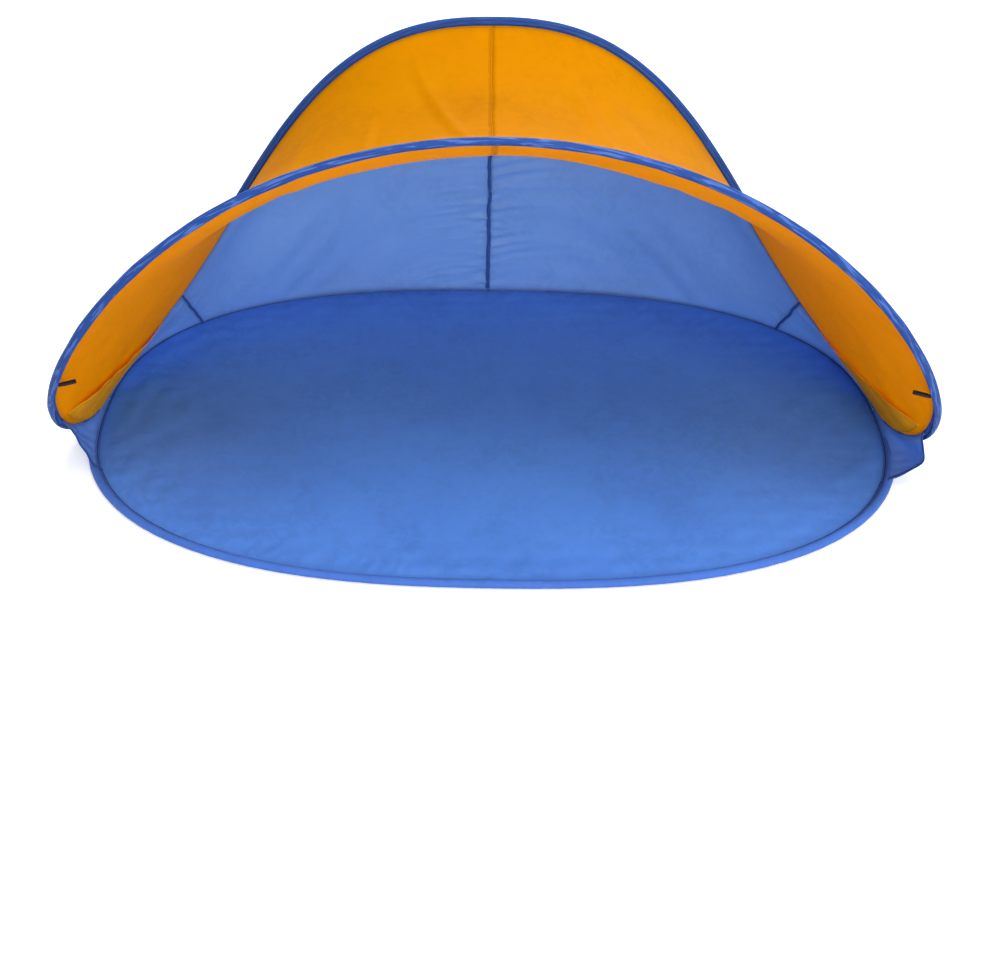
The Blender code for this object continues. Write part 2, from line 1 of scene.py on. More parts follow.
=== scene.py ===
"""Looks of a pop-up beach tent: cloth, seams, stitches, webbing, steel, studio and camera.

The frame gives the tent's solids. This script dresses them with cloth that is worked out as surfaces
of two parameters, in the same metres: +X to the right of a person who looks in, +Y to the back, +Z up.

Two numbers place almost everything. `share` runs along an arm of the roof hoop, from the point where
the two hoops touch (0) to the crown (1). `span` runs over the roof from the rear arm (0) to the front
arm (1), or down a wall from the hoop (0) to the floor (1).
"""

from __future__ import annotations

import json
import logging
import math
from dataclasses import dataclass, field
from enum import Enum

import bpy
import numpy as np
from mathutils import Matrix, Vector

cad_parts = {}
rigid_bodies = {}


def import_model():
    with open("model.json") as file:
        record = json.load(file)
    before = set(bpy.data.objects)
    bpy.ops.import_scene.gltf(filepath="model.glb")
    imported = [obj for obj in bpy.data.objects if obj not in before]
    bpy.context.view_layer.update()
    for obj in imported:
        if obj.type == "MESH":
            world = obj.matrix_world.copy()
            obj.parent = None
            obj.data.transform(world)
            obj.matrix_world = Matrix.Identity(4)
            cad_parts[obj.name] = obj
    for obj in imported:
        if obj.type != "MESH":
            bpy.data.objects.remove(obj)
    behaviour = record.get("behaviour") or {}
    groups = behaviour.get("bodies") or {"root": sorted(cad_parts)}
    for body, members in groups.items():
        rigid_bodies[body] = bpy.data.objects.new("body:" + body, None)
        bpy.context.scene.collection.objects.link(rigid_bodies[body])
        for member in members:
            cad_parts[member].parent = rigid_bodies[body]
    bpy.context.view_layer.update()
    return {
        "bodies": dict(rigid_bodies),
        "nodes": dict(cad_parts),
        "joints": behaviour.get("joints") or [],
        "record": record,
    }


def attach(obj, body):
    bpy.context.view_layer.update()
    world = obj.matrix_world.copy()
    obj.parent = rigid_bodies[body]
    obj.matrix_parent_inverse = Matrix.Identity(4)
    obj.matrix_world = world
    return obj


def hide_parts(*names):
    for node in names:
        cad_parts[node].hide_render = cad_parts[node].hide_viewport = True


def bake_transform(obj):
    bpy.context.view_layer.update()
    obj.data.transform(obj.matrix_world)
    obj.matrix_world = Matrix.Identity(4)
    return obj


LOG = logging.getLogger("beach_tent")
Array = np.ndarray
Place = tuple[float, float, float]
Socket = bpy.types.NodeSocket
Tree = bpy.types.NodeTree

SHEET_THICKNESS = 0.0009
NO_SEAMS = (False,) * 4
UP = np.array([0.0, 0.0, 1.0])
ACROSS = np.array([1.0, 0.0, 0.0])
MIRROR = np.array([-1.0, 1.0, 1.0])
INSIDE_POINT = np.array([0.0, 0.05, 0.49])


class End(Enum):
    """The front and the rear arm of the roof hoop."""

    FRONT = -1
    REAR = 1


class Side(Enum):
    """The right and the left half of the tent."""

    RIGHT = 1
    LEFT = -1

    @property
    def word(self) -> str:
        """Name of the side in lower case."""
        return self.name.lower()

    @property
    def mirror(self) -> Array:
        """Factors that carry a point of the right half to this side."""
        return np.array([float(self.value), 1.0, 1.0])


class Slot(Enum):
    """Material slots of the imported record."""

    BLUE = "blue_cloth"
    DEEP_BLUE = "deep_blue_cloth"
    ORANGE = "orange_cloth"
    WEBBING = "black_webbing"
    STEEL = "spring_steel"


def unit(vectors: Array) -> Array:
    """Vectors at length one."""
    length = np.linalg.norm(vectors, axis=-1, keepdims=True)
    return vectors / np.maximum(length, 1e-12)


def square_to(tangents: Array, vectors: Array) -> Array:
    """Unit part of each vector that is square to its tangent."""
    along = np.sum(tangents * vectors, axis=-1, keepdims=True)
    return unit(vectors - along * tangents)


def ease(low: float, high: float, value: Array) -> Array:
    """Smooth step from 0 at `low` to 1 at `high`."""
    share = np.clip((np.asarray(value, float) - low) / (high - low), 0.0, 1.0)
    return share * share * (3.0 - 2.0 * share)


def hump(share: Array) -> Array:
    """Parabola over a share: 0 at both ends and 1 in the middle."""
    return 4.0 * share * (1.0 - share)


def run_lengths(points: Array, axis: int) -> Array:
    """Distance walked along one axis of a grid of points, from its first row or column."""
    steps = np.linalg.norm(np.diff(points, axis=axis), axis=-1)
    return np.insert(np.cumsum(steps, axis=axis), 0, 0.0, axis=axis)


def grid_normals(grid: Array) -> Array:
    """Unit normals of a grid of points, from the cross product of its two directions."""
    return unit(np.cross(np.gradient(grid, axis=0), np.gradient(grid, axis=1)))


def signed_power(values: Array, power: float) -> Array:
    """Sizes raised to a power, with the values' own signs."""
    return np.sign(values) * np.abs(values) ** power


def away_from(distance: Array, reach: float) -> Array:
    """0 on a seam and 1 away from it: one less a bell of the given reach."""
    return 1.0 - np.exp(-((distance / reach) ** 2))


def nearest_edge(runs: Array) -> Array:
    """Distance from the nearer of the first and last columns."""
    return np.minimum(runs, runs[:, -1:] - runs)


def round_angles(count: int) -> Array:
    """Even angles round a closed profile."""
    return np.linspace(0.0, math.tau, count, endpoint=False)


def graded(count: int, pull: float = 0.3) -> Array:
    """Shares from 0 to 1 that lie closer together near both ends."""
    even = np.linspace(0.0, 1.0, count)
    return (1.0 - pull) * even + pull * (0.5 - 0.5 * np.cos(math.pi * even))


def swept(path: Array, axis_a: Array, axis_b: Array, part_a: Array, part_b: Array) -> Array:
    """A profile carried on a path: point = path + axis_a * a + axis_b * b.

    Args:
        path: Points of the path, one row each.
        axis_a: First axis of the profile at each point.
        axis_b: Second axis of the profile at each point.
        part_a: Profile's first parts, by point and by place round the profile.
        part_b: Its second parts.

    Returns:
        A grid of points, by path and by place round the profile.
    """
    return (
        path[:, None]
        + axis_a[:, None] * part_a[..., None]
        + axis_b[:, None] * part_b[..., None]
    )


def faces_inwards(points: Array) -> bool:
    """Whether faces laid in grid order would point into a tube.

    Args:
        points: The tube's grid.

    Returns:
        True where they would.
    """
    row = points[len(points) // 2]
    after = points[len(points) // 2 + 1]
    way = np.cross(np.roll(row, -1, axis=0) - row, after - row)
    return bool(np.sum(way * (row - row.mean(axis=0))) < 0.0)


def put_in_scene(name: str, data: bpy.types.ID) -> bpy.types.Object:
    """Make an object for some data and link it to the scene.

    Args:
        name: Name of the object.
        data: A mesh, lamp or camera.

    Returns:
        The object.
    """
    made = bpy.data.objects.new(name, data)
    bpy.context.scene.collection.objects.link(made)
    return made


@dataclass(frozen=True)
class ArmForm:
    """One arm of the roof hoop: how high, deep and wide it goes, and the powers that round it."""

    crown_height: float
    reach: float
    spread: float
    rise_share: float
    profile_share: float
    spread_share: float
    shoulder_share: float
    round_share: float


@dataclass(frozen=True)
class TentPlan:
    """Sizes and curves of the two hoops, the same as the frame's, in metres.

    The floor hoop is a superellipse. An arm of the roof hoop climbs with the square of a sine, so that
    it lies level where the hoops touch and at the crown. Its reach in depth and its outline from the
    front are powers of the height share.
    """

    front: ArmForm = ArmForm(0.981, -0.45, 0.062, 3.5, 2.2, 8.0, 1.79, 2.0)
    rear: ArmForm = ArmForm(0.861, 0.477, -0.193, 1.25, 1.7, 4.0, 1.2, 2.43)
    floor_half_width: float = 0.996
    floor_half_depth: float = 0.616
    floor_round_share: float = 2.5
    hem_radius: float = 0.0105
    sleeve_radius: float = 0.0115
    contact_depth: float = 0.05
    tangent_step: float = 0.004
    roof_dip: float = 0.15
    lobe_dip_share: float = 0.25
    dip_start_share: float = 0.45
    dip_end_share: float = 0.90
    wire_radius: float = 0.00175
    gap: float = 0.0003
    tube_sides: int = 8
    wall_lean_share: float = 0.68
    wall_blend_share: float = 0.25
    gusset_lean_share: float = 0.82
    seam_share: float = 0.30
    gusset_top_share: float = 0.25
    gusset_reach: float = 0.28
    pocket_top_share: float = 0.25
    front_fold_ratio: float = 0.55
    rear_fold_ratio: float = 0.26
    fold_turn_share: float = 0.07

    @property
    def facet(self) -> float:
        """Height share of a facet of the frame's tubes."""
        return math.cos(math.pi / self.tube_sides)

    @property
    def hem_height(self) -> float:
        """Height of the middle of the floor hem."""
        return self.hem_radius * self.facet

    @property
    def hinge_height(self) -> float:
        """Height of the fold's axis, on top of the floor hem."""
        return 2.0 * self.hem_height

    @property
    def contact_height(self) -> float:
        """Height of the middle of the roof hoop where it touches the floor hem."""
        return self.hinge_height + self.gap + self.sleeve_radius * self.facet

    @property
    def contact_width(self) -> float:
        """Half width of the tent where the hoops touch."""
        return float(self.hem_line(self.hem_angle(np.array(self.contact_depth)))[0])

    def hem_line(self, angles: Array) -> Array:
        """Middle of the floor hem: a superellipse, x = a cos^p, y = b sin^p.

        Args:
            angles: Angles round the oval, 0 on the right and a quarter turn at the back.

        Returns:
            Points, with the shape of the angles and one more axis.
        """
        power = 2.0 / self.floor_round_share
        x = self.floor_half_width * signed_power(np.cos(angles), power)
        y = self.floor_half_depth * signed_power(np.sin(angles), power)
        return np.stack([x, y, np.full_like(x, self.hem_height)], axis=-1)

    def hem_outward(self, points: Array) -> Array:
        """Level outward normal of the oval at points of it, from the slope of its equation.

        Args:
            points: Points on the oval.

        Returns:
            Unit directions.
        """
        halves = np.array([self.floor_half_width, self.floor_half_depth])
        slopes = signed_power(points[..., :2] / halves, self.floor_round_share - 1.0) / halves
        return unit(np.concatenate([slopes, np.zeros_like(slopes[..., :1])], axis=-1))

    def hem_angle(self, depths: Array) -> Array:
        """Angle round the right half of the oval at a depth along Y."""
        share = np.minimum(np.abs(depths) / self.floor_half_depth, 1.0)
        return np.copysign(np.arcsin(share ** (self.floor_round_share / 2.0)), depths)

    def arm(self, shares: Array, end: End) -> Array:
        """Middle of the right front or rear arm of the roof hoop.

        Args:
            shares: Shares of the arm, from the contact to the crown.
            end: Which arm.

        Returns:
            Points, with the shape of the shares and one more axis.
        """
        form = self.front if end is End.FRONT else self.rear
        height = np.sin(np.asarray(shares, float) * math.pi / 2.0) ** 2
        low = 1.0 - height
        spread = self.contact_width + form.spread * (1.0 - low**form.spread_share)
        outline = np.maximum(1.0 - height**form.shoulder_share, 0.0) ** (1.0 / form.round_share)
        profile = (1.0 - low**form.rise_share) ** (1.0 / form.profile_share)
        y = self.contact_depth + form.reach * profile
        z = self.contact_height + (form.crown_height - self.contact_height) * height
        return np.stack([spread * outline, y, z], axis=-1)

    def arm_frame(self, shares: Array, end: End) -> tuple[Array, Array, Array]:
        """Points, tangents towards the crown and outward directions along an arm.

        Args:
            shares: Shares of the arm, from the contact to the crown.
            end: Which arm.

        Returns:
            Points, unit tangents and unit directions.
        """
        shares = np.asarray(shares, float)
        step = self.tangent_step
        points = self.arm(shares, end)
        ahead = self.arm(np.minimum(shares + step, 1.0), end)
        behind = self.arm(np.maximum(shares - step, 0.0), end)
        past_crown = ahead.copy()
        past_crown[..., 0] = -self.arm(np.minimum(2.0 - shares - step, 1.0), end)[..., 0]
        ahead = np.where((shares + step > 1.0)[..., None], past_crown, ahead)
        tangents = unit(ahead - behind)
        centre = np.array([0.0, self.contact_depth, self.contact_height])
        return points, tangents, square_to(tangents, points - centre)

    def wall_foot_angle(self, shares: Array) -> Array:
        """Angle on the hem where a wall stands that leaves the rear arm at a share.

        Args:
            shares: Shares of the rear arm.

        Returns:
            Angles round the oval.
        """
        shares = np.asarray(shares, float)
        level = self.hem_angle(self.arm(shares, End.REAR)[..., 1])
        spread = (math.pi / 2.0) * shares**self.wall_lean_share
        blend = ease(0.0, self.wall_blend_share, shares)
        return (1.0 - blend) * level + blend * spread

    def gusset_foot_angle(self, shares: Array) -> Array:
        """Angle on the hem where a gusset stands that leaves the front arm at a share."""
        depth = self.arm(shares, End.FRONT)[..., 1] - self.contact_depth
        return self.hem_angle(self.contact_depth + self.gusset_lean_share * depth)

    def floor_edge(self, angles: Array, inset: float, height: float) -> Array:
        """Points beside the hem, moved in from its middle and set at a height.

        Args:
            angles: Angles round the oval.
            inset: How far in.
            height: Their height.

        Returns:
            The points.
        """
        points = self.hem_line(angles)
        points = points - self.hem_outward(points) * inset
        points[..., 2] = height
        return points

    def ring_ratio(self, signed_share: Array) -> Array:
        """Fold ratio of the roof hoop: the front arm's below 0, the rear arm's above 0."""
        turn = ease(-self.fold_turn_share, self.fold_turn_share, signed_share)
        return self.front_fold_ratio + (self.rear_fold_ratio - self.front_fold_ratio) * turn


@dataclass(frozen=True)
class SeamPlan:
    """Lines where the cloth panels are sewn together and to the sleeves.

    Roof and wall meet on the inner side of the sleeve, so that the sleeve lies outside the seam.
    """

    plan: TentPlan
    stand_off: float = 0.0006
    foot_height: float = 0.0035
    wall_pull: float = 0.9
    pull_fade: tuple[float, float] = (-0.04, 0.10)

    def foot(self, shares: Array, end: End) -> Array:
        """Seam between the floor and the wall or gusset, at a share of the arm above it.

        Args:
            shares: Shares of the arm.
            end: Rear for the walls and front for the gusset.

        Returns:
            Points of the seam.
        """
        plan = self.plan
        if end is End.REAR:
            angles = plan.wall_foot_angle(shares)
        else:
            reach = plan.gusset_reach * np.minimum(shares / plan.gusset_top_share, 1.0)
            angles = plan.gusset_foot_angle(np.minimum(shares * (1.0 + reach), 1.0))
        return plan.floor_edge(angles, plan.hem_radius + self.stand_off, self.foot_height)

    def head(self, shares: Array, end: End) -> Array:
        """Seam between the sleeve, the roof and the wall or gusset.

        The seam leaves the sleeve half way between the roof's direction and the wall's. Where a front
        arm has no gusset, it leaves in the roof's direction alone.

        Args:
            shares: Shares of the arm.
            end: Which arm.

        Returns:
            Points of the seam.
        """
        plan = self.plan
        points, tangents, _ = plan.arm_frame(shares, end)
        roof = square_to(tangents, self.roof_middle(shares) - points)
        wall = square_to(tangents, self.foot(shares, end) - points)
        start, finish = (plan.gusset_top_share + step for step in self.pull_fade)
        pull = np.ones_like(shares) if end is End.REAR else 1.0 - ease(start, finish, shares)
        direction = square_to(tangents, roof + wall * pull[..., None] * self.wall_pull)
        return points + direction * (plan.sleeve_radius + self.stand_off)

    def roof_middle(self, shares: Array) -> Array:
        """Lowest line of the roof, half way between the arms."""
        rear, front, inward, dip = self.roof_parts(shares)
        return (rear + front) / 2.0 + inward * dip[..., None]

    def roof_parts(self, shares: Array) -> tuple[Array, Array, Array, Array]:
        """Rear arm, front arm, inward direction and dip of the saddle at a share.

        Args:
            shares: Shares of both arms.

        Returns:
            Points of the arms, unit directions and depths.
        """
        plan = self.plan
        rear, _, rear_out = plan.arm_frame(shares, End.REAR)
        front, _, front_out = plan.arm_frame(shares, End.FRONT)
        one = np.array(1.0)
        crown = np.linalg.norm(plan.arm(one, End.REAR) - plan.arm(one, End.FRONT))
        span = np.linalg.norm(rear - front, axis=-1)
        rise = ease(plan.dip_start_share, plan.dip_end_share, shares)
        fullness = plan.lobe_dip_share + (1.0 - plan.lobe_dip_share) * rise
        dip = plan.roof_dip * fullness * (span / crown) ** 2
        return rear, front, -unit(rear_out + front_out), dip

    def roof(self, shares: Array, spans: Array) -> Array:
        """Roof surface: a straight line between the two seams, let down by a parabola.

        Args:
            shares: Shares of the arms.
            spans: Shares of the way from the rear arm.

        Returns:
            Points of the roof.
        """
        _, _, inward, dip = self.roof_parts(shares)
        start, finish = self.head(shares, End.REAR), self.head(shares, End.FRONT)
        line = start + (finish - start) * spans[..., None]
        return line + inward * (dip * hump(spans))[..., None]

    def panel(self, shares: Array, spans: Array, end: End) -> Array:
        """Wall or gusset surface: straight lines from the hoop's seam down to the floor's."""
        start, finish = self.head(shares, end), self.foot(shares, end)
        return start + (finish - start) * spans[..., None]


@dataclass(frozen=True)
class Waves:
    """A sum of sine waves with seeded directions, lengths and phases."""

    seed: int
    count: int
    shortest: float
    longest: float
    lean: float = math.pi
    stretch: float = 1.0

    def __call__(self, x: Array, y: Array) -> Array:
        """Height between about -1 and 1 at places in cloth metres.

        Args:
            x: Places in the cloth's first direction.
            y: Places in its second direction.

        Returns:
            The sum of the sines, by the root of their number.
        """
        rng = np.random.default_rng(self.seed)
        total = np.zeros_like(x)
        for _ in range(self.count):
            length = math.exp(rng.uniform(math.log(self.shortest), math.log(self.longest)))
            angle = rng.uniform(-self.lean, self.lean)
            phase = rng.uniform(0.0, math.tau)
            across = x * math.cos(angle) + y / self.stretch * math.sin(angle)
            total += np.sin(math.tau * across / length + phase)
        return total / math.sqrt(self.count)


@dataclass(frozen=True)
class Puckers:
    """Short wrinkles square to a seam, which fade away from it."""

    seed: int
    pitch: float
    reach: float
    depth: float

    def __call__(self, along: Array, across: Array) -> Array:
        """Height in metres at distances along a seam and away from it.

        Args:
            along: Distances along the seam.
            across: Distances from it.

        Returns:
            Slanted sines that fade away from the seam.
        """
        rng = np.random.default_rng(self.seed)
        total = np.zeros_like(along)
        for _ in range(5):
            length = self.pitch * rng.uniform(0.7, 2.1)
            slant = rng.uniform(-0.35, 0.35)
            phase = rng.uniform(0.0, math.tau)
            total += np.sin(math.tau * (along + slant * across) / length + phase)
        strength = 0.55 + 0.45 * Waves(self.seed + 7, 3, 0.12, 0.5, 0.2)(along, across)
        return self.depth * strength * np.exp(-across / self.reach) * total / 2.2


@dataclass(frozen=True)
class Fold:
    """One soft fold of cloth between two places on a panel, in shares of its two directions."""

    start: tuple[float, float]
    finish: tuple[float, float]
    width: float
    depth: float
    bend: float = 0.0

    def __call__(self, x: Array, y: Array, size: tuple[float, float]) -> Array:
        """Height in metres: a bell across the fold, faded towards both of its ends.

        Args:
            x: Places in the panel's first direction.
            y: Places in its second direction.
            size: The panel's lengths in both.

        Returns:
            The bell, less a shallow trough beside it.
        """
        scale = np.array(size)
        first, last = np.array(self.start) * scale, np.array(self.finish) * scale
        run = last - first
        length = float(np.linalg.norm(run))
        ahead = run / length
        along = ((x - first[0]) * ahead[0] + (y - first[1]) * ahead[1]) / length
        beside = -(x - first[0]) * ahead[1] + (y - first[1]) * ahead[0]
        beside = beside - self.bend * length * hump(np.clip(along, 0.0, 1.0))
        fade = ease(-0.08, 0.35, along) * (1.0 - ease(0.6, 1.08, along))
        bell = np.exp(-((beside / self.width) ** 2))
        trough = 0.45 * np.exp(-(((beside - 1.9 * self.width) / self.width) ** 2))
        return self.depth * fade * (bell - trough)


@dataclass(frozen=True)
class Tone:
    """A colour as a screen shows it, from 0 to 255."""

    red: int
    green: int
    blue: int

    @property
    def linear(self) -> tuple[float, float, float, float]:
        """The colour as light, from 0 to 1, with a full alpha.

        Returns:
            Red, green, blue and alpha.
        """
        shares = np.array([self.red, self.green, self.blue], float) / 255.0
        light = np.where(shares <= 0.04045, shares / 12.92, ((shares + 0.055) / 1.055) ** 2.4)
        return (float(light[0]), float(light[1]), float(light[2]), 1.0)


class Board:
    """A node tree with short calls that add nodes and join them."""

    def __init__(self, tree: Tree) -> None:
        """Keep the tree."""
        self.tree = tree

    def add(self, kind: str, **settings: object) -> bpy.types.Node:
        """Add a node and give it its settings.

        Args:
            kind: Name of the node's type, without "ShaderNode".
            settings: Properties of the node.

        Returns:
            The node.
        """
        node = self.tree.nodes.new("ShaderNode" + kind)
        for name, value in settings.items():
            setattr(node, name, value)
        return node

    def feed(self, value: object, socket: Socket) -> None:
        """Join a socket to a socket, or write a plain value into it.

        Args:
            value: A socket or a plain value.
            socket: The socket that takes it.
        """
        if isinstance(value, Socket):
            self.tree.links.new(value, socket)
        else:
            socket.default_value = value

    def math(self, operation: str, *values: object, clamp: bool = False) -> Socket:
        """Add a Math node for the values and return its result.

        Args:
            operation: What the node does.
            values: Sockets or numbers.
            clamp: Whether the result is kept from 0 to 1.

        Returns:
            The result.
        """
        node = self.add("Math", operation=operation, use_clamp=clamp)
        for value, socket in zip(values, node.inputs):
            self.feed(value, socket)
        return node.outputs[0]

    def times(self, first: object, second: object, plus: object = None) -> Socket:
        """Multiply two values and add a third where one is given.

        Args:
            first: First factor.
            second: Second factor.
            plus: What is added, if anything.

        Returns:
            The result.
        """
        if plus is None:
            return self.math("MULTIPLY", first, second)
        return self.math("MULTIPLY_ADD", first, second, plus)

    def mix(self, share: object, first: object, second: object, way: str = "MIX") -> Socket:
        """Add a colour Mix node and return its result.

        Args:
            share: Share of the second colour.
            first: First colour.
            second: Second colour.
            way: How they mix.

        Returns:
            The mixed colour.
        """
        node = self.add("Mix", data_type="RGBA", blend_type=way, clamp_factor=True)
        self.feed(share, node.inputs[0])
        self.feed(first, node.inputs[6])
        self.feed(second, node.inputs[7])
        return node.outputs[2]

    def noise(self, place: object, scale: float, detail: float, twist: float = 0.0) -> Socket:
        """Add a Noise Texture and return its value.

        Args:
            place: Where it is read.
            scale: Waves to a metre.
            detail: Finer layers.
            twist: Warp of the places.

        Returns:
            A value from 0 to 1.
        """
        node = self.add("TexNoise", noise_dimensions="3D")
        self.feed(place, node.inputs["Vector"])
        settings = {"Scale": scale, "Detail": detail, "Roughness": 0.55, "Distortion": twist}
        for name, value in settings.items():
            node.inputs[name].default_value = value
        return node.outputs[0]

    def step(self, value: object, low: float, high: float, start: float, end: float) -> Socket:
        """Add a smooth Map Range from `start` at `low` to `end` at `high`.

        Args:
            value: What is mapped.
            low: Where the step starts.
            high: Where it ends.
            start: Result at `low`.
            end: Result at `high`.

        Returns:
            The result.
        """
        node = self.add("MapRange", interpolation_type="SMOOTHSTEP", clamp=True)
        for given, socket in zip((value, low, high, start, end), node.inputs):
            self.feed(given, socket)
        return node.outputs[0]

    def split(self, place: object) -> bpy.types.bpy_prop_collection:
        """Take a place apart into its three numbers.

        Args:
            place: The place.

        Returns:
            Sockets of the three numbers.
        """
        node = self.add("SeparateXYZ")
        self.feed(place, node.inputs[0])
        return node.outputs

    def use(self, tree: Tree, **inputs: object) -> bpy.types.bpy_prop_collection:
        """Place a node group, feed its inputs and return its outputs.

        Args:
            tree: The group.
            inputs: What to feed, by name.

        Returns:
            The outputs.
        """
        node = self.add("Group")
        node.node_tree = tree
        for name, value in inputs.items():
            self.feed(value, node.inputs[name])
        return node.outputs


class EffectGroup(Board):
    """A shader node group with named inputs and outputs."""

    def __init__(self, name: str, **inputs: object) -> None:
        """Make the group and its inputs.

        Args:
            name: Name of the group.
            inputs: First value of each input: a number, a colour, or None for a place.
        """
        super().__init__(bpy.data.node_groups.new(name, "ShaderNodeTree"))
        kinds = {float: "NodeSocketFloat", tuple: "NodeSocketColor"}
        for word, value in inputs.items():
            kind = kinds.get(type(value), "NodeSocketVector")
            socket = self.tree.interface.new_socket(word, in_out="INPUT", socket_type=kind)
            if value is not None:
                socket.default_value = value
        self.given = self.tree.nodes.new("NodeGroupInput").outputs

    def finish(self, **outputs: Socket) -> Tree:
        """Give the group its outputs and return its tree.

        Args:
            outputs: Each output's value, by name.

        Returns:
            The group's tree.
        """
        for word, value in outputs.items():
            kind = "NodeSocketColor" if value.type == "RGBA" else "NodeSocketFloat"
            self.tree.interface.new_socket(word, in_out="OUTPUT", socket_type=kind)
        result = self.tree.nodes.new("NodeGroupOutput").inputs
        for word, value in outputs.items():
            self.feed(value, result[word])
        return self.tree


GREY = (0.5, 0.5, 0.5, 1.0)
WHITE = (1.0, 1.0, 1.0, 1.0)


class Effects:
    """The shader groups that several materials share, each built once."""

    def __init__(self) -> None:
        """Build the groups."""
        self.weave = self._weave()
        self.crumple = self._crumple()
        self.tone = self._tone()
        self.stitches = self._stitches()
        self.ribs = self._ribs()
        self.drawn_wire = self._drawn_wire()
        self.twists = self._twists()

    @staticmethod
    def _weave() -> Tree:
        """Plain weave: two sets of round threads that pass over each other in turn.

        Returns:
            A group that gives Height.
        """
        group = EffectGroup("plain_weave", Map=None, Threads=900.0)
        turns = group.times(group.given["Threads"], math.pi)
        run = group.split(group.given["Map"])
        warp = group.math("SINE", group.times(run[0], turns))
        weft = group.math("SINE", group.times(run[1], turns))
        over = group.times(warp, weft)
        warp_up = group.times(over, 0.4, plus=group.math("ABSOLUTE", warp))
        weft_up = group.times(over, -0.4, plus=group.math("ABSOLUTE", weft))
        return group.finish(Height=group.math("MAXIMUM", warp_up, weft_up))

    @staticmethod
    def _crumple() -> Tree:
        """Creases of cloth that has been coiled up: ridges of warped noise at three sizes.

        Returns:
            A group that gives Height and Shade.
        """
        group = EffectGroup("packed_creases", Place=None)
        broad = group.noise(group.given["Place"], 5.5, 2.0, 0.9)
        middle = group.noise(group.given["Place"], 19.0, 3.0, 1.4)
        fine = group.noise(group.given["Place"], 70.0, 3.0, 0.7)
        ridge = group.math("ABSOLUTE", group.math("SUBTRACT", middle, 0.5))
        ridge = group.math("SUBTRACT", 1.0, group.times(ridge, 9.0), clamp=True)
        ridge = group.times(ridge, group.step(broad, 0.42, 0.62, 0.0, 1.0))
        height = group.times(broad, 0.9, plus=group.times(middle, 0.35))
        height = group.times(ridge, 0.10, plus=height)
        return group.finish(Height=group.times(fine, 0.05, plus=height), Shade=ridge)

    @staticmethod
    def _tone() -> Tree:
        """Cloth colour: random light and dark patches, specks, painted shade in creases and weave
        hollows, and darker seams, partly painted shade.

        Returns:
            A group that gives Colour and Roughness.
        """
        group = EffectGroup(
            "cloth_tone", Place=None, Colour=GREY, Deep=GREY, Seam=0.0, Crease=0.0, Weave=0.5
        )
        given = group.given
        patches = group.noise(given["Place"], 2.6, 3.0, 0.5)
        specks = group.noise(given["Place"], 46.0, 2.0)
        light = group.mix(0.10, given["Colour"], WHITE, "OVERLAY")
        paint = group.mix(group.step(patches, 0.40, 0.68, 0.0, 0.55), given["Colour"], light)
        # Mix toward the deep tone: random dark patches and specks, painted shade in the creases and in
        # the weave's hollows, and the seam mark, a dark line with painted shade beside it.
        for share in (
            group.step(patches, 0.48, 0.26, 0.0, 0.12),
            group.step(specks, 0.44, 0.66, 0.0, 0.05),
            group.times(given["Crease"], 0.12),
            group.step(given["Weave"], 0.75, 0.25, 0.0, 0.16),
            given["Seam"],
        ):
            paint = group.mix(share, paint, given["Deep"])
        rough = group.times(specks, 0.16, plus=0.46)
        return group.finish(Colour=paint, Roughness=group.times(given["Seam"], 0.12, plus=rough))

    @staticmethod
    def _stitches() -> Tree:
        """A row of lock stitches: dashes along a run, each a round bead sunk at its ends.

        Returns:
            A group that gives Mask, Height and Groove.
        """
        group = EffectGroup("stitch_row", Run=0.0, Off=0.0, Row=0.004, Pitch=0.0036)
        given = group.given
        aside = group.math("ABSOLUTE", group.math("SUBTRACT", given["Off"], given["Row"]))
        place = group.math("FRACT", group.math("DIVIDE", given["Run"], given["Pitch"]))
        along = group.math("ABSOLUTE", group.math("SUBTRACT", place, 0.5))
        thread = group.step(aside, 0.00025, 0.00060, 1.0, 0.0)
        mask = group.times(group.step(along, 0.30, 0.42, 1.0, 0.0), thread)
        groove = group.step(aside, 0.0004, 0.0022, 1.0, 0.0)
        raised = group.times(groove, -0.7, plus=mask)
        return group.finish(Mask=mask, Height=raised, Groove=groove)

    @staticmethod
    def _ribs() -> Tree:
        """Webbing: short slanted ribs in rows along a strap, which turn at each row.

        Returns:
            A group that gives Height.
        """
        group = EffectGroup("webbing_ribs", Map=None, Rows=700.0)
        run = group.split(group.given["Map"])
        across = group.times(run[1], group.given["Rows"])
        along = group.times(run[0], group.given["Rows"])
        turn = group.math("PINGPONG", across, 1.0)
        slant = group.math("SINE", group.times(turn, 2.2, plus=along))
        groove = group.math("ABSOLUTE", group.math("SINE", group.times(across, math.pi)))
        return group.finish(Height=group.times(slant, 0.35, plus=groove))

    @staticmethod
    def _twists() -> Tree:
        """Long slanted wrinkles of a sleeve that has turned on its wire; their height also places
        painted sheen streaks.

        Returns:
            A group that gives Height.
        """
        group = EffectGroup("sleeve_twists", Map=None)
        run = group.split(group.given["Map"])
        join = group.add("CombineXYZ")
        group.feed(group.times(run[0], 16.0, plus=group.times(run[1], 70.0)), join.inputs[0])
        group.feed(group.times(run[1], 150.0), join.inputs[1])
        return group.finish(Height=group.noise(join.outputs[0], 1.0, 2.0, 0.3))

    @staticmethod
    def _drawn_wire() -> Tree:
        """Spring steel: faint scratches along the wire and a bluish tempered tone in patches.

        Returns:
            A group that gives Colour, Roughness and Height.
        """
        group = EffectGroup("drawn_wire", Place=None, Colour=GREY, Deep=GREY)
        given = group.given
        patches = group.step(group.noise(given["Place"], 9.0, 3.0, 0.4), 0.40, 0.65, 0.0, 0.8)
        scratches = group.noise(given["Place"], 900.0, 2.0)
        return group.finish(
            Colour=group.mix(patches, given["Colour"], given["Deep"]),
            Roughness=group.times(scratches, 0.22, plus=0.24),
            Height=scratches,
        )


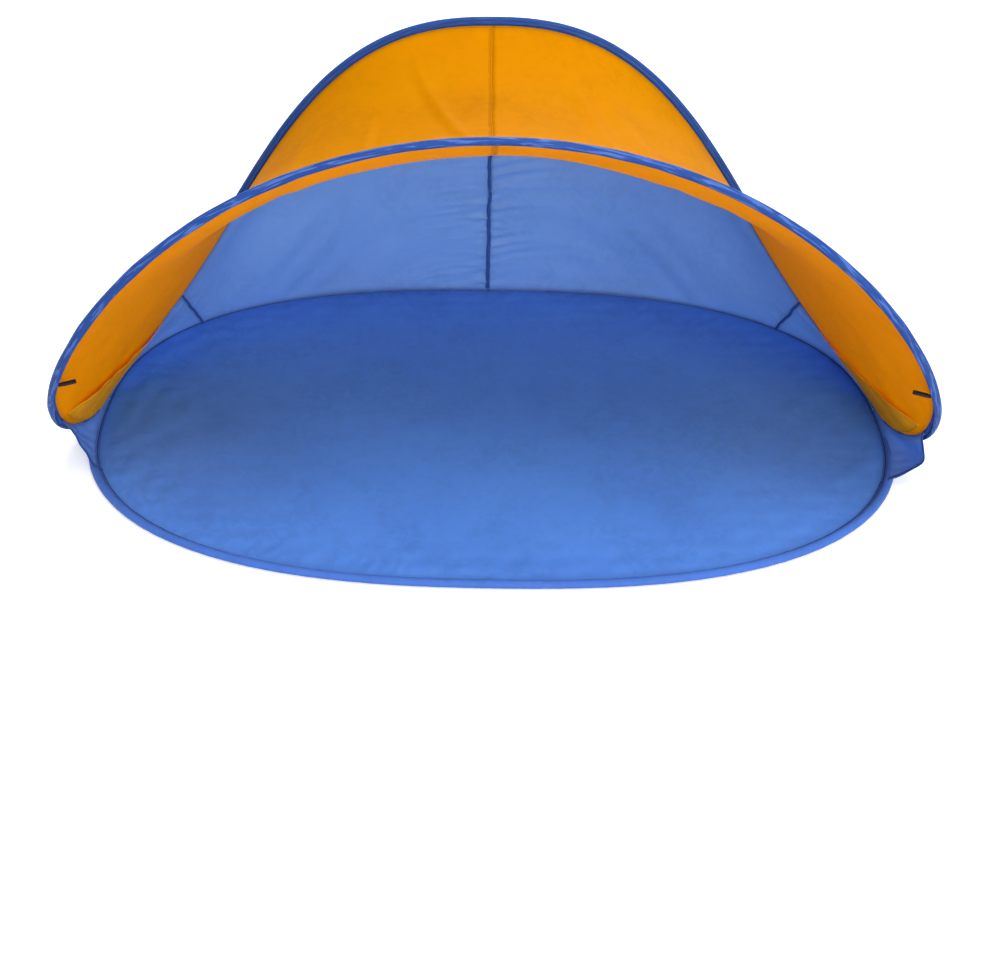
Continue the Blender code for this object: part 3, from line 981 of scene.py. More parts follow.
class Swatch(Board):
    """The board of a new material, with its shader and the maps that it reads."""

    def __init__(self, name: str) -> None:
        """Make the material.

        Args:
            name: Name of the material.
        """
        self.made = bpy.data.materials.new(name)
        self.made.use_nodes = True
        super().__init__(self.made.node_tree)
        self.shader = self.tree.nodes["Principled BSDF"]

    def place(self) -> Socket:
        """Places in the object's own metres."""
        return self.add("TexCoord").outputs["Object"]

    def cloth_map(self) -> Socket:
        """The piece's map in metres."""
        return self.add("UVMap", uv_map="cloth_map").outputs[0]

    def mark(self, word: str) -> Socket:
        """A number that the piece's points carry."""
        return self.add("Attribute", attribute_name=word).outputs["Fac"]

    def set(self, **values: object) -> None:
        """Feed the shader's inputs, whose names hold spaces for underscores."""
        for name, value in values.items():
            self.feed(value, self.shader.inputs[name.replace("_", " ")])

    def emboss(self, height: object, distance: float = 1.0, strength: float = 1.0) -> Socket:
        """Turn a height into the shader's normals, and return them.

        Args:
            height: The height.
            distance: Metres to a height of one.
            strength: Share of the effect.

        Returns:
            The normals.
        """
        bump = self.add("Bump")
        bump.inputs["Distance"].default_value = distance
        bump.inputs["Strength"].default_value = strength
        self.feed(height, bump.inputs["Height"])
        self.set(Normal=bump.outputs[0])
        return bump.outputs[0]

    def let_light_through(self, colour: Tone, share: float, normals: Socket) -> None:
        """Mix in the light that shines through thin cloth from its other side.

        Args:
            colour: Colour of the light that comes through.
            share: Its share.
            normals: The wrinkles' normals.
        """
        thin = self.add("BsdfTranslucent")
        thin.inputs["Color"].default_value = colour.linear
        blend = self.add("MixShader")
        blend.inputs[0].default_value = share
        output = next(node for node in self.tree.nodes if node.type == "OUTPUT_MATERIAL")
        self.feed(normals, thin.inputs["Normal"])
        self.feed(self.shader.outputs[0], blend.inputs[1])
        self.feed(thin.outputs[0], blend.inputs[2])
        self.feed(blend.outputs[0], output.inputs["Surface"])


@dataclass(frozen=True)
class ClothFinish:
    """Dyed nylon with a plain weave, packed creases, dark seams with painted shade beside them and in
    their stitch grooves, rows of stitches, and painted sheen streaks on twisted sleeves.
    """

    name: str
    colour: Tone
    deep: Tone
    thread: Tone
    weave_threads: float = 820.0
    crease_depth: float = 0.0018
    weave_depth: float = 0.00008
    stitch_depth: float = 0.0005
    # Seam marks: a dark line at the seam, partly painted shade, then painted shade beside it and in
    # the stitch groove.
    seam_width: float = 0.004
    seam_strength: float = 0.75
    soft_strength: float = 0.14
    groove_share: float = 0.5
    stitch_row: float = 0.0055
    sheen: float = 0.02
    gloss: float = 0.20
    rough_shift: float = 0.0
    twist_depth: float = 0.0
    # Share and tone of painted sheen: light streaks along the sleeve's twists.
    twist_shine: float = 0.0
    satin: Tone = Tone(104, 144, 228)
    light_through: float = 0.0
    through: Tone | None = None

    def material(self, effects: Effects) -> bpy.types.Material:
        """Build the material.

        Args:
            effects: The shared shader groups.

        Returns:
            A material that reads the piece's map, seam marks and Object coordinates.
        """
        board = Swatch(self.name)
        place, cloth_map = board.place(), board.cloth_map()
        off, run = board.mark("seam_off"), board.mark("seam_run")
        width = self.seam_width
        weave = board.use(effects.weave, Map=cloth_map, Threads=self.weave_threads)
        crumple = board.use(effects.crumple, Place=place)
        row = board.use(effects.stitches, Run=run, Off=off, Row=self.stitch_row)
        # Dark line at the seam, partly painted shade; painted shade spreads beside it and lies in the
        # stitch groove.
        seam = board.step(off, width * 0.35, width, self.seam_strength, 0.0)
        soft = board.step(off, width, width * 6.0, self.soft_strength, 0.0)
        groove = board.times(row["Groove"], self.seam_strength * self.groove_share)
        tone = board.use(
            effects.tone,
            Place=place,
            Colour=self.colour.linear,
            Deep=self.deep.linear,
            Seam=board.math("MAXIMUM", seam, board.math("MAXIMUM", soft, groove)),
            Crease=crumple["Shade"],
            Weave=weave["Height"],
        )
        paint = board.mix(row["Mask"], tone["Colour"], self.thread.linear)
        height = board.times(crumple["Height"], self.crease_depth)
        height = board.times(weave["Height"], self.weave_depth, plus=height)
        height = board.times(row["Height"], self.stitch_depth, plus=height)
        if self.twist_depth > 0.0:
            twists = board.use(effects.twists, Map=cloth_map)["Height"]
            # Painted sheen: light streaks of the sheen tone where the twists rise.
            painted_sheen_streak = board.step(twists, 0.50, 0.62, 0.0, self.twist_shine)
            paint = board.mix(painted_sheen_streak, paint, self.satin.linear)
            height = board.times(twists, self.twist_depth, plus=height)
        board.set(
            Base_Color=paint,
            Roughness=board.math("ADD", tone["Roughness"], self.rough_shift),
            Sheen_Weight=self.sheen,
            Sheen_Roughness=0.45,
            Specular_IOR_Level=self.gloss,
        )
        normals = board.emboss(height)
        if self.through is not None:
            board.let_light_through(self.through, self.light_through, normals)
        return board.made


@dataclass(frozen=True)
class WebbingFinish:
    """Black nylon webbing with slanted ribs, greyed where it rubs."""

    name: str
    colour: Tone
    worn: Tone
    rows: float = 700.0
    rib_depth: float = 0.0003

    def material(self, effects: Effects) -> bpy.types.Material:
        """Build the material, which reads the strap's map, from the shared shader groups.

        Args:
            effects: The shared shader groups.

        Returns:
            A material that reads the strap's map.
        """
        board = Swatch(self.name)
        ribs = board.use(effects.ribs, Map=board.cloth_map(), Rows=self.rows)
        rub = board.step(board.noise(board.place(), 120.0, 3.0), 0.45, 0.75, 0.0, 0.6)
        worn = board.times(rub, board.step(ribs["Height"], 0.6, 1.3, 0.0, 1.0))
        board.set(
            Base_Color=board.mix(worn, self.colour.linear, self.worn.linear),
            Roughness=board.times(rub, 0.25, plus=0.55),
            Sheen_Weight=0.03,
            Specular_IOR_Level=0.2,
        )
        board.emboss(board.times(ribs["Height"], self.rib_depth))
        return board.made


@dataclass(frozen=True)
class SteelFinish:
    """Tempered spring steel, drawn and oiled."""

    name: str
    colour: Tone
    deep: Tone
    scratch_depth: float = 0.00004

    def material(self, effects: Effects) -> bpy.types.Material:
        """Build the material, on Object coordinates, from the shared shader groups.

        Args:
            effects: The shared shader groups.

        Returns:
            A material that reads Object coordinates.
        """
        board = Swatch(self.name)
        wire = board.use(
            effects.drawn_wire,
            Place=board.place(),
            Colour=self.colour.linear,
            Deep=self.deep.linear,
        )
        board.set(Base_Color=wire["Colour"], Roughness=wire["Roughness"], Metallic=1.0)
        board.emboss(wire["Height"], self.scratch_depth, 0.6)
        return board.made


class Paints:
    """Every finish of the tent, built once."""

    def __init__(self) -> None:
        """Build the finishes and their materials."""
        effects = Effects()
        blue_thread, orange_thread = Tone(46, 84, 160), Tone(196, 118, 8)
        navy, deep_orange = Tone(26, 48, 104), Tone(120, 66, 4)
        finishes = {
            "floor": ClothFinish(
                "floor_cloth", Tone(74, 134, 229), navy, blue_thread, crease_depth=0.0004,
                gloss=0.35, rough_shift=-0.05,
            ),
            "gusset": ClothFinish(
                "gusset_cloth", Tone(110, 162, 238), navy, blue_thread, seam_strength=0.45,
                crease_depth=0.0012, light_through=0.28, through=Tone(130, 182, 248),
            ),
            "hem": ClothFinish("hem_cloth", Tone(66, 112, 202), navy, blue_thread),
            # The wall's tone is painted lighter than the floor's, though both are the same blue cloth:
            # a lit copy that stands in for light through the wall.
            "wall": ClothFinish(
                "wall_cloth", Tone(124, 168, 232), navy, blue_thread,
                crease_depth=0.0012, seam_strength=0.45, gloss=0.35, rough_shift=-0.08,
                light_through=0.35, through=Tone(160, 198, 240),
            ),
            "sleeve": ClothFinish(
                "sleeve_cloth", Tone(37, 73, 148), navy, blue_thread, gloss=0.12, sheen=0.0,
                crease_depth=0.0006, seam_width=0.0016, seam_strength=0.35, stitch_row=0.0003,
                twist_depth=0.0040, twist_shine=0.45,
            ),
            "rear_sleeve": ClothFinish(
                "rear_sleeve_cloth", Tone(38, 74, 146), navy, blue_thread, gloss=0.10, sheen=0.0,
                crease_depth=0.0006, seam_width=0.0016, seam_strength=0.10, stitch_row=0.0003,
                twist_depth=0.0020, twist_shine=0.10,
            ),
            "tape": ClothFinish("tape_cloth", Tone(48, 82, 156), navy, blue_thread),
            "roof": ClothFinish(
                "roof_cloth", Tone(238, 161, 0), deep_orange, orange_thread, gloss=0.02, sheen=0.0,
                seam_strength=0.25, light_through=0.36, through=Tone(255, 196, 16),
            ),
            "pocket": ClothFinish(
                "pocket_cloth", Tone(236, 158, 24), deep_orange, orange_thread, gloss=0.02, sheen=0.0,
                seam_strength=0.4,
            ),
            "webbing": WebbingFinish("webbing", Tone(4, 4, 4), Tone(15, 14, 13)),
            "steel": SteelFinish("spring_steel", Tone(150, 152, 156), Tone(104, 108, 122)),
        }
        self.by_name = {word: finish.material(effects) for word, finish in finishes.items()}

    def __getitem__(self, word: str) -> bpy.types.Material:
        """The material of a finish."""
        return self.by_name[word]


@dataclass
class Skin:
    """A grid of points with a map in metres, marks for its materials and its share of the fold.

    `calm` is the sheet as it was cut and stretched, before wrinkles, and `cut` its width and length
    where the runs along its edges don't give them. `closed_rows` and `closed_columns` join the last
    row or column to the first.
    """

    name: str
    points: Array
    paint: str
    slot: Slot
    nodes: tuple[str, ...] = ()
    body: str = ""
    fold: Array | None = None
    calm: Array | None = None
    cut: tuple[float, float] | None = None
    thickness: float = 0.0
    seams: tuple[bool, bool, bool, bool] = (True, True, True, True)
    closed_rows: bool = False
    closed_columns: bool = False
    flip: bool = False
    held: str = ""
    rests_on: tuple[str, ...] = ()
    stitched: tuple[Array, Array] | None = None

    @property
    def sheet(self) -> Array:
        """The calm surface, or the points where there is none."""
        return self.points if self.calm is None else self.calm

    def maps(self) -> tuple[Array, Array]:
        """Distances along the rows and along the columns, one more where the grid is closed.

        Returns:
            Both grids of distances.
        """
        points = self.sheet
        if self.closed_rows:
            points = np.concatenate([points, points[:1]], axis=0)
        if self.closed_columns:
            points = np.concatenate([points, points[:, :1]], axis=1)
        return run_lengths(points, 0), run_lengths(points, 1)

    def marks(self) -> tuple[Array, Array]:
        """Distance from the nearest seam, and the run along that seam, for each point.

        Returns:
            Both grids of distances.
        """
        if self.stitched is not None:
            return self.stitched
        down, across = run_lengths(self.sheet, 0), run_lengths(self.sheet, 1)
        offs = np.stack([down, down[-1:] - down, across, across[:, -1:] - across])
        offs[[not seam for seam in self.seams]] = 1.0
        nearest = np.argmin(offs, axis=0)[None]
        runs = np.stack([across, across, down, down])
        return offs.min(axis=0), np.take_along_axis(runs, nearest, axis=0)[0]


def tube(name: str, points: Array, paint: str, slot: Slot, *nodes: str, **more: object) -> Skin:
    """A skin that closes round its columns, with its faces outwards and no seams at its edges."""
    more = {"flip": faces_inwards(points), "seams": NO_SEAMS} | more
    return Skin(name, points, paint, slot, nodes, closed_columns=True, **more)


@dataclass(frozen=True)
class Band:
    """A flat oval profile for tapes and turned hems, which swells and narrows along its run."""

    half_width: float
    half_depth: float
    sides: int
    waves: Waves
    swell: float
    wavy_width: bool = False
    flat_share: float = 0.7
    turn_scale: float = 0.01

    def carried(self, middle: Array, path: Array, across: Array, normal: Array) -> Array:
        """Carry the profile along a path.

        Args:
            middle: The line that the tape follows, whose runs place the waves.
            path: The middle of the profile.
            across: Direction of its width.
            normal: Direction of its depth.

        Returns:
            A grid of points, by path and by place round the profile.
        """
        run, turns = np.meshgrid(run_lengths(middle, 0), round_angles(self.sides), indexing="ij")
        swell = 1.0 + self.swell * self.waves(run, turns * self.turn_scale)
        width = self.half_width * (swell if self.wavy_width else 1.0)
        return swept(
            path, across, normal,
            width * signed_power(np.cos(turns), self.flat_share),
            self.half_depth * swell * np.sin(turns),
        )

    def along_edge(self, near: Array, out_share: float) -> Array:
        """Carry the profile along a sheet's last row, moved out by a share of its half width.

        Args:
            near: The sheet's last three rows.
            out_share: The share.

        Returns:
            A grid of points, by path and by place round the profile.
        """
        middle = near[2]
        along = unit(np.gradient(middle, axis=0))
        ahead = square_to(along, near[2] - near[1])
        path = middle + ahead * self.half_width * out_share
        return self.carried(middle, path, ahead, unit(np.cross(along, ahead)))


class Workshop:
    """Makes pieces from skins: mesh, map, marks, finish, place in the frame."""

    def __init__(self, paints: Paints) -> None:
        """Keep the finishes."""
        self.paints = paints

    def mesh(self, skin: Skin) -> bpy.types.Object:
        """Put a skin's grid into a mesh of quads, with its map and marks.

        Args:
            skin: The grid and its marks.

        Returns:
            An object at the origin.
        """
        rows, columns = skin.points.shape[:2]
        row_faces = rows if skin.closed_rows else rows - 1
        column_faces = columns if skin.closed_columns else columns - 1
        i, j = np.meshgrid(np.arange(row_faces), np.arange(column_faces), indexing="ij")
        i, j = i.ravel(), j.ravel()
        corner_i = np.stack([i, i, i + 1, i + 1], axis=-1)
        corner_j = np.stack([j, j + 1, j + 1, j], axis=-1)
        if skin.flip:
            corner_i, corner_j = corner_i[:, ::-1], corner_j[:, ::-1]
        faces = (corner_i % rows) * columns + corner_j % columns
        points = skin.points.reshape(-1, 3)
        u, v = skin.maps()
        spread = np.stack([u[corner_i, corner_j], v[corner_i, corner_j]], axis=-1).reshape(-1, 2)
        face_list = faces.tolist()
        if skin.closed_columns and not skin.closed_rows:
            points, caps = self._caps(skin, points)
            face_list += caps.tolist()
            spread = np.concatenate([spread, np.zeros((caps.size, 2))])
        mesh = bpy.data.meshes.new(skin.name)
        mesh.from_pydata(points.tolist(), [], face_list)
        mesh.polygons.foreach_set("use_smooth", [True] * len(mesh.polygons))
        layer = mesh.uv_layers.new(name="cloth_map")
        layer.data.foreach_set("uv", spread.astype(np.float32).ravel())
        extra = np.zeros(len(points) - rows * columns)
        for word, values in zip(("seam_off", "seam_run"), skin.marks()):
            attribute = mesh.attributes.new(word, "FLOAT", "POINT")
            values = np.concatenate([values.ravel(), extra])
            attribute.data.foreach_set("value", values.astype(np.float32))
        mesh.update()
        return put_in_scene(skin.name, mesh)

    @staticmethod
    def _caps(skin: Skin, points: Array) -> tuple[Array, Array]:
        """Close both ends of a tube with triangles round a middle point.

        Args:
            skin: The tube.
            points: Its points in one row.

        Returns:
            The points with two more, and the triangles.
        """
        rows, columns = skin.points.shape[:2]
        middles = np.stack([skin.points[0].mean(axis=0), skin.points[-1].mean(axis=0)])
        first = rows * columns
        ring = np.arange(columns)
        ahead = (ring + 1) % columns
        start = np.stack([ahead, ring, np.full(columns, first)], axis=-1)
        last = (rows - 1) * columns
        end = np.stack([last + ring, last + ahead, np.full(columns, first + 1)], axis=-1)
        caps = np.concatenate([start, end])
        if skin.flip:
            caps = caps[:, ::-1]
        return np.concatenate([points, middles]), caps

    def make(self, skin: Skin) -> bpy.types.Object:
        """Make a finished piece that rides with a frame body, or has its place baked in where it has
        fold shares.

        Args:
            skin: The grid and what it stands for.

        Returns:
            The piece.
        """
        made = self.mesh(skin)
        made.data.materials.append(self.paints[skin.paint])
        if skin.thickness > 0.0:
            shell = made.modifiers.new("cloth_thickness", "SOLIDIFY")
            shell.thickness = skin.thickness
            shell.offset = 0.0
            shell.use_rim = True
        if skin.fold is None:
            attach(made, skin.body)
        else:
            self.bend(made, skin)
        if skin.nodes:
            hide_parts(*skin.nodes)
        if skin.held:
            self.declare(made, skin)
        LOG.info("%s: %d points", skin.name, len(made.data.vertices))
        return made

    @staticmethod
    def bend(made: bpy.types.Object, skin: Skin) -> None:
        """Bake the piece's place into its points and gather each point's share of the floor's fold.

        Args:
            made: The piece.
            skin: Its fold shares; a tube's end points take their row's mean.
        """
        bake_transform(made)
        values = skin.fold.ravel()
        if len(made.data.vertices) > values.size:
            values = np.concatenate([values, [skin.fold[0].mean(), skin.fold[-1].mean()]])

    @staticmethod
    def declare(made: bpy.types.Object, skin: Skin) -> None:
        """Does nothing: the sheet's cut size is not declared.

        Args:
            made: The piece; not used.
            skin: The sheet that it was made from; not used.
        """


@dataclass
class Groundsheet:
    """The floor cloth, its hem round the hoop, and the flange sewn along the open front."""

    plan: TentPlan
    seams: SeamPlan
    rows: int = 150
    columns: int = 190
    hem_steps: int = 900
    hem_round: int = 20
    ripple: float = 0.0032
    bend_half: float = 0.030
    flange_width: float = 0.0085
    flange_lift: float = 0.0018
    sheet_thickness: float = 0.0008
    tip_angle: float = 0.02
    edge_scale: float = 0.62
    edge_reach: float = 0.85
    rim_rise: float = 0.0013
    rest_height: float = 0.0022
    lowest: float = 0.0009
    flange_steps: int = 420
    flange_columns: int = 6

    def fold_at(self, depths: Array) -> Array:
        """Share of the floor's fold: 1 in front of the hinge, 0 behind it."""
        hinge = self.plan.contact_depth
        return 1.0 - ease(hinge - self.bend_half, hinge + self.bend_half, depths)

    def floor(self) -> Skin:
        """The oval sheet: rows of constant depth, from edge to edge of the inner side of the hem.

        Height = a rim that rises to the seam, plus waves and puckers that fade out at the rim.

        Returns:
            The sheet.
        """
        plan = self.plan
        tip = math.pi / 2 - self.tip_angle
        inset = plan.hem_radius + self.seams.stand_off
        edge = plan.floor_edge(np.linspace(-tip, tip, self.rows), inset, self.seams.foot_height)
        shares = 2.0 * graded(self.columns, 0.25) - 1.0
        x = edge[:, :1] * shares[None]
        y = np.repeat(edge[:, 1:2], self.columns, axis=1)
        calm = np.stack([x, y, np.full_like(x, self.seams.foot_height)], axis=-1)
        scale = np.array([plan.floor_half_width, plan.floor_half_depth])
        oval = np.sum(np.abs(calm[..., :2] / scale) ** plan.floor_round_share, axis=-1)
        inward = np.maximum(1.0 - oval ** (1.0 / plan.floor_round_share), 0.0) * self.edge_scale
        rim = self.rim_rise * np.exp(-inward / 0.05)
        free = away_from(inward, 0.03)
        broad = Waves(11, 5, 0.35, 0.9)(x, y) * self.ripple * 0.5
        near = Waves(12, 6, 0.05, 0.16)(x, y) * self.ripple * 0.55 * np.exp(-inward / 0.12)
        sides = ease(0.62, 0.9, np.abs(x))
        swirl = Waves(13, 5, 0.06, 0.22, 0.9)(x, y) * self.ripple * 0.5 * sides
        pucker = Puckers(14, 0.024, 0.075, 0.0015)(np.arctan2(y, x) * self.edge_reach, inward)
        slack = free * (broad + near + swirl + self.rest_height) + free * pucker
        points = calm.copy()
        points[..., 2] = np.maximum(self.rest_height + rim + slack, self.lowest)
        return Skin(
            "groundsheet", points, "floor", Slot.BLUE, ("floor_front", "floor_rear"),
            fold=self.fold_at(points[..., 1]), calm=calm, thickness=self.sheet_thickness,
            cut=(float(np.ptp(calm[..., 0])), float(np.ptp(calm[..., 1]))),
            held="stretched", rests_on=("groundsheet_hem",),
        )

    def hem(self) -> Skin:
        """The sleeve round the floor hoop: a flattened round carried round the oval.

        Its width is pulled in and let out by short waves, as cloth gathers on a wire.

        Returns:
            The hem.
        """
        plan = self.plan
        path = plan.hem_line(self._even_angles())
        up = np.broadcast_to(UP, path.shape)
        turn = round_angles(self.hem_round)
        along, turns = np.meshgrid(run_lengths(path, 0), turn, indexing="ij")
        gather = Waves(21, 6, 0.018, 0.07, 0.5)(along, turns * 0.012)
        slow = Waves(22, 3, 0.2, 0.7, 0.3)(along, turns * 0.01)
        radius = 1.0 - 0.035 * (1.0 - gather) * 0.5 - 0.03 * (1.0 + slow) * 0.5
        part_a = plan.hem_radius * radius * np.cos(turns)
        part_b = plan.hem_height * radius * np.sin(turns) * (1.0 - 0.12 * np.cos(turns))
        points = swept(path, plan.hem_outward(path), up, part_a, part_b)
        points[..., 2] = np.maximum(points[..., 2], 0.0003)
        return tube(
            "groundsheet_hem", points, "hem", Slot.BLUE, "floor_hem_front", "floor_hem_rear",
            fold=self.fold_at(points[..., 1]), closed_rows=True, flip=False,
        )

    def _even_angles(self) -> Array:
        """Angles that step evenly along the oval's length.

        Returns:
            One angle for each step.
        """
        fine = np.linspace(0.0, math.tau, 20001)
        run = run_lengths(self.plan.hem_line(fine), 0)
        return np.interp(round_angles(self.hem_steps) / math.tau * run[-1], run, fine)

    def flange(self) -> Skin:
        """The hem's inner lip along the open front, from one gusset's hem to the other.

        Returns:
            The strip.
        """
        plan = self.plan
        top = plan.gusset_top_share * (1.0 + plan.gusset_reach)
        start = float(plan.gusset_foot_angle(np.array(top)))
        edge = plan.hem_line(np.linspace(-math.pi - start, start, self.flange_steps))
        shares = np.linspace(0.0, 1.0, self.flange_columns)
        across = plan.hem_radius * 0.82 + self.flange_width * shares
        points = edge[:, None] - plan.hem_outward(edge)[:, None] * across[None, :, None]
        run = np.repeat(run_lengths(edge, 0)[:, None], self.flange_columns, axis=1)
        waver = Waves(31, 5, 0.02, 0.09, 0.4)(run, shares[None] * 0.01)
        lift = self.flange_lift * (1.0 - 0.35 * shares) + 0.0005 * waver * shares
        points[..., 2] = self.seams.foot_height + 0.0016 + lift
        points[:, 0, 2] = plan.hem_height * 0.95
        return Skin(
            "front_hem_flange", points, "hem", Slot.BLUE,
            fold=self.fold_at(points[..., 1]), thickness=SHEET_THICKNESS,
            seams=(False, False, False, True), held="stretched", rests_on=("groundsheet_hem",),
        )

    def build(self, shop: Workshop) -> None:
        """Make the floor's pieces."""
        for skin in (self.hem(), self.floor(), self.flange()):
            shop.make(skin)


@dataclass
class RoofHoop:
    """The roof hoop's sleeve in four runs, its wires at the low ends, and the seam inside it."""

    plan: TentPlan
    seams: SeamPlan
    front_split: float = 0.30
    rear_split: float = 0.40
    half_width: float = 0.0114
    half_height: float = 0.0094
    groove_share: float = 0.32
    wire_inset: float = 0.004
    gap_share: float = 0.0006
    arch_steps: int = 420
    lobe_steps: int = 260
    wire_steps: int = 130
    wire_sides: int = 10
    pinch: float = 0.70
    rear_slack: float = 0.40
    narrowed: float = 0.26
    contact_lean: Place = (0.42, 0.0, 0.9)
    contact_widening: float = 0.62
    stations: tuple[float, ...] = (
        1.0, 0.95, 0.80, 0.62, 0.48, 0.39, 0.32, 0.24, 0.08, -0.15, -0.45, -0.72, -0.92, -1.0
    )

    def turns(self) -> Array:
        """Angles round the sleeve's profile, closer together at the stitched groove."""
        upper = np.arccos(np.array(self.stations))
        return np.concatenate([upper, math.tau - upper[-2:0:-1]])

    def ring(self, signed: Array, side: Side) -> tuple[Array, Array, Array, Array]:
        """The hoop at signed shares: below 0 the front arm, above 0 the rear arm.

        Args:
            signed: Signed shares, from the front crown at -1 to the rear crown at 1.
            side: Which half of the tent.

        Returns:
            Points, tangents, directions of the seam, and widths of the sleeve.
        """
        shares = np.abs(signed)
        front, front_way, _ = self.plan.arm_frame(shares, End.FRONT)
        rear, rear_way, _ = self.plan.arm_frame(shares, End.REAR)
        is_rear = (signed > 0.0)[:, None]
        points = np.where(is_rear, rear, front)
        rear_head, front_head = (self.seams.head(shares, end) for end in (End.REAR, End.FRONT))
        heads = np.where(is_rear, rear_head, front_head)
        tangents = np.where(is_rear, rear_way, -front_way)
        tangents[shares < 0.02] = (0.0, 1.0, 0.0)
        blend = (1.0 - ease(0.01, 0.06, shares))[:, None]
        towards = unit(heads - points) * (1.0 - blend) + np.array(self.contact_lean) * blend
        seam_way = square_to(tangents, towards)
        width = 1.0 + self.contact_widening * (1.0 - ease(0.05, 0.19, shares))
        return points * side.mirror, tangents * side.mirror, seam_way * side.mirror, width

    def sleeve(self, shares: Array, side: Side, seed: int) -> tuple[Array, Array]:
        """Points and fold shares of a run of the sleeve on one side.

        The profile is a round channel for the wire, a stitched groove, and a flat lip at the seam.
        Slanted waves press it in.

        Args:
            shares: Signed shares, below 0 on the front arm.
            side: Which half of the tent.
            seed: Seed of the waves.

        Returns:
            The points and their fold shares.
        """
        path, ways, seam_way, width = self.ring(shares, side)
        binormal = unit(np.cross(ways, seam_way))
        away = np.abs(shares)
        along, turns = np.meshgrid(run_lengths(path, 0), self.turns(), indexing="ij")
        slant = Waves(seed, 5, 0.07, 0.22, 0.9)(along, turns * 0.016)
        press = 1.0 - 0.07 * (1.0 - slant) * 0.5
        press = press * (1.0 + 0.2 * (1.0 - ease(0.45, 0.95, away)))[:, None]
        cosine = np.cos(turns)
        outer = 1.0 - self.narrowed * ease(0.12, 0.26, -shares) * (1.0 - ease(0.55, 0.88, away))
        part_a = self.half_width * cosine * np.where(cosine > 0.0, width[:, None], outer[:, None])
        slack = self.rear_slack * ease(self.rear_split - 0.15, self.rear_split, shares)
        pinch = (self.pinch - slack)[:, None]
        round_part = 1.0 - pinch * ease(-0.05, self.groove_share, cosine)
        lip = 0.38 * pinch * ease(self.groove_share, self.groove_share + 0.25, cosine)
        part_b = self.half_height * np.sin(turns) * (round_part + lip) * press
        points = swept(path, seam_way, binormal, part_a, part_b)
        return points, np.repeat(self.plan.ring_ratio(shares)[:, None], turns.shape[1], axis=1)

    def groove(self, points: Array) -> tuple[Array, Array]:
        """Distance from the stitched groove and the run along it, for the sleeve's finish.

        Args:
            points: The sleeve's grid.

        Returns:
            Both grids of distances.
        """
        off = self.half_width * np.abs(np.cos(self.turns()) - self.groove_share)
        run = run_lengths(points.mean(axis=1), 0)
        return tuple(np.broadcast_arrays(off[None], run[:, None]))

    def arch(self, end: End) -> Skin:
        """The front or rear run, from one side's lobe over the crown to the other side's.

        Args:
            end: Which arch.

        Returns:
            The arch's sleeve.
        """
        is_front = end is End.FRONT
        split = self.front_split if is_front else self.rear_split
        signed = np.linspace(split, 1.0, self.arch_steps // 2) * end.value
        right, _ = self.sleeve(signed, Side.RIGHT, 41)
        left, _ = self.sleeve(signed, Side.LEFT, 43)
        joined = self._join(right, left)
        word, paint = ("front", "sleeve") if is_front else ("rear", "rear_sleeve")
        return tube(
            f"{word}_arch_cloth_sleeve", joined, paint, Slot.BLUE, f"{word}_arch_sleeve",
            body=f"{word}_arch", stitched=self.groove(joined),
        )

    @staticmethod
    def _join(right: Array, left: Array) -> Array:
        """Join two half runs at the crown, with the left one's places in the right one's order.

        Args:
            right: Points of the right half, from its lobe to the crown.
            left: Points of the left half, likewise.

        Returns:
            Points from the right lobe to the left.
        """
        left = left[::-1]
        other = np.concatenate([left[:, :1], left[:, :0:-1]], axis=1)
        same = np.linalg.norm(left[0] - right[-1], axis=-1).sum()
        turned = np.linalg.norm(other[0] - right[-1], axis=-1).sum()
        left = other if turned < same else left
        middle = (right[-1:] + left[:1]) / 2.0
        return np.concatenate([right[:-1], middle, left[1:]], axis=0)

    def lobe(self, side: Side) -> Skin:
        """The run round a lobe's low end, from the front arch to the rear arch.

        Args:
            side: Which half of the tent.

        Returns:
            The lobe's sleeve.
        """
        signed = np.linspace(
            self.gap_share - self.front_split, self.rear_split - self.gap_share, self.lobe_steps
        )
        points, fold = self.sleeve(signed, side, 45 + side.value)
        return tube(
            f"lobe_cloth_sleeve_{side.word}", points, "sleeve", Slot.BLUE,
            f"lobe_sleeve_{side.word}", fold=fold, stitched=self.groove(points),
        )

    def wire(self, side: Side) -> Skin:
        """The spring wire inside a lobe's sleeve: a round profile on the hoop.

        Args:
            side: Which half of the tent.

        Returns:
            The wire.
        """
        inset = self.wire_inset
        first, last = inset - self.front_split, self.rear_split - inset
        signed = np.linspace(first, last, self.wire_steps)
        path, ways, seam_way, _ = self.ring(signed, side)
        binormal = unit(np.cross(ways, seam_way))
        turn = round_angles(self.wire_sides)[None]
        part_a, part_b = self.plan.wire_radius * np.cos(turn), self.plan.wire_radius * np.sin(turn)
        points = swept(path, seam_way, binormal, part_a, part_b)
        return tube(
            f"lobe_spring_wire_{side.word}", points, "steel", Slot.STEEL, f"lobe_wire_{side.word}",
            fold=np.repeat(self.plan.ring_ratio(signed)[:, None], self.wire_sides, axis=1),
        )

    def build(self, shop: Workshop) -> None:
        """Make the hoop's sleeves and the wires at the low ends.

        Args:
            shop: Makes the pieces.
        """
        for end in End:
            shop.make(self.arch(end))
        for side in Side:
            shop.make(self.lobe(side))
            shop.make(self.wire(side))


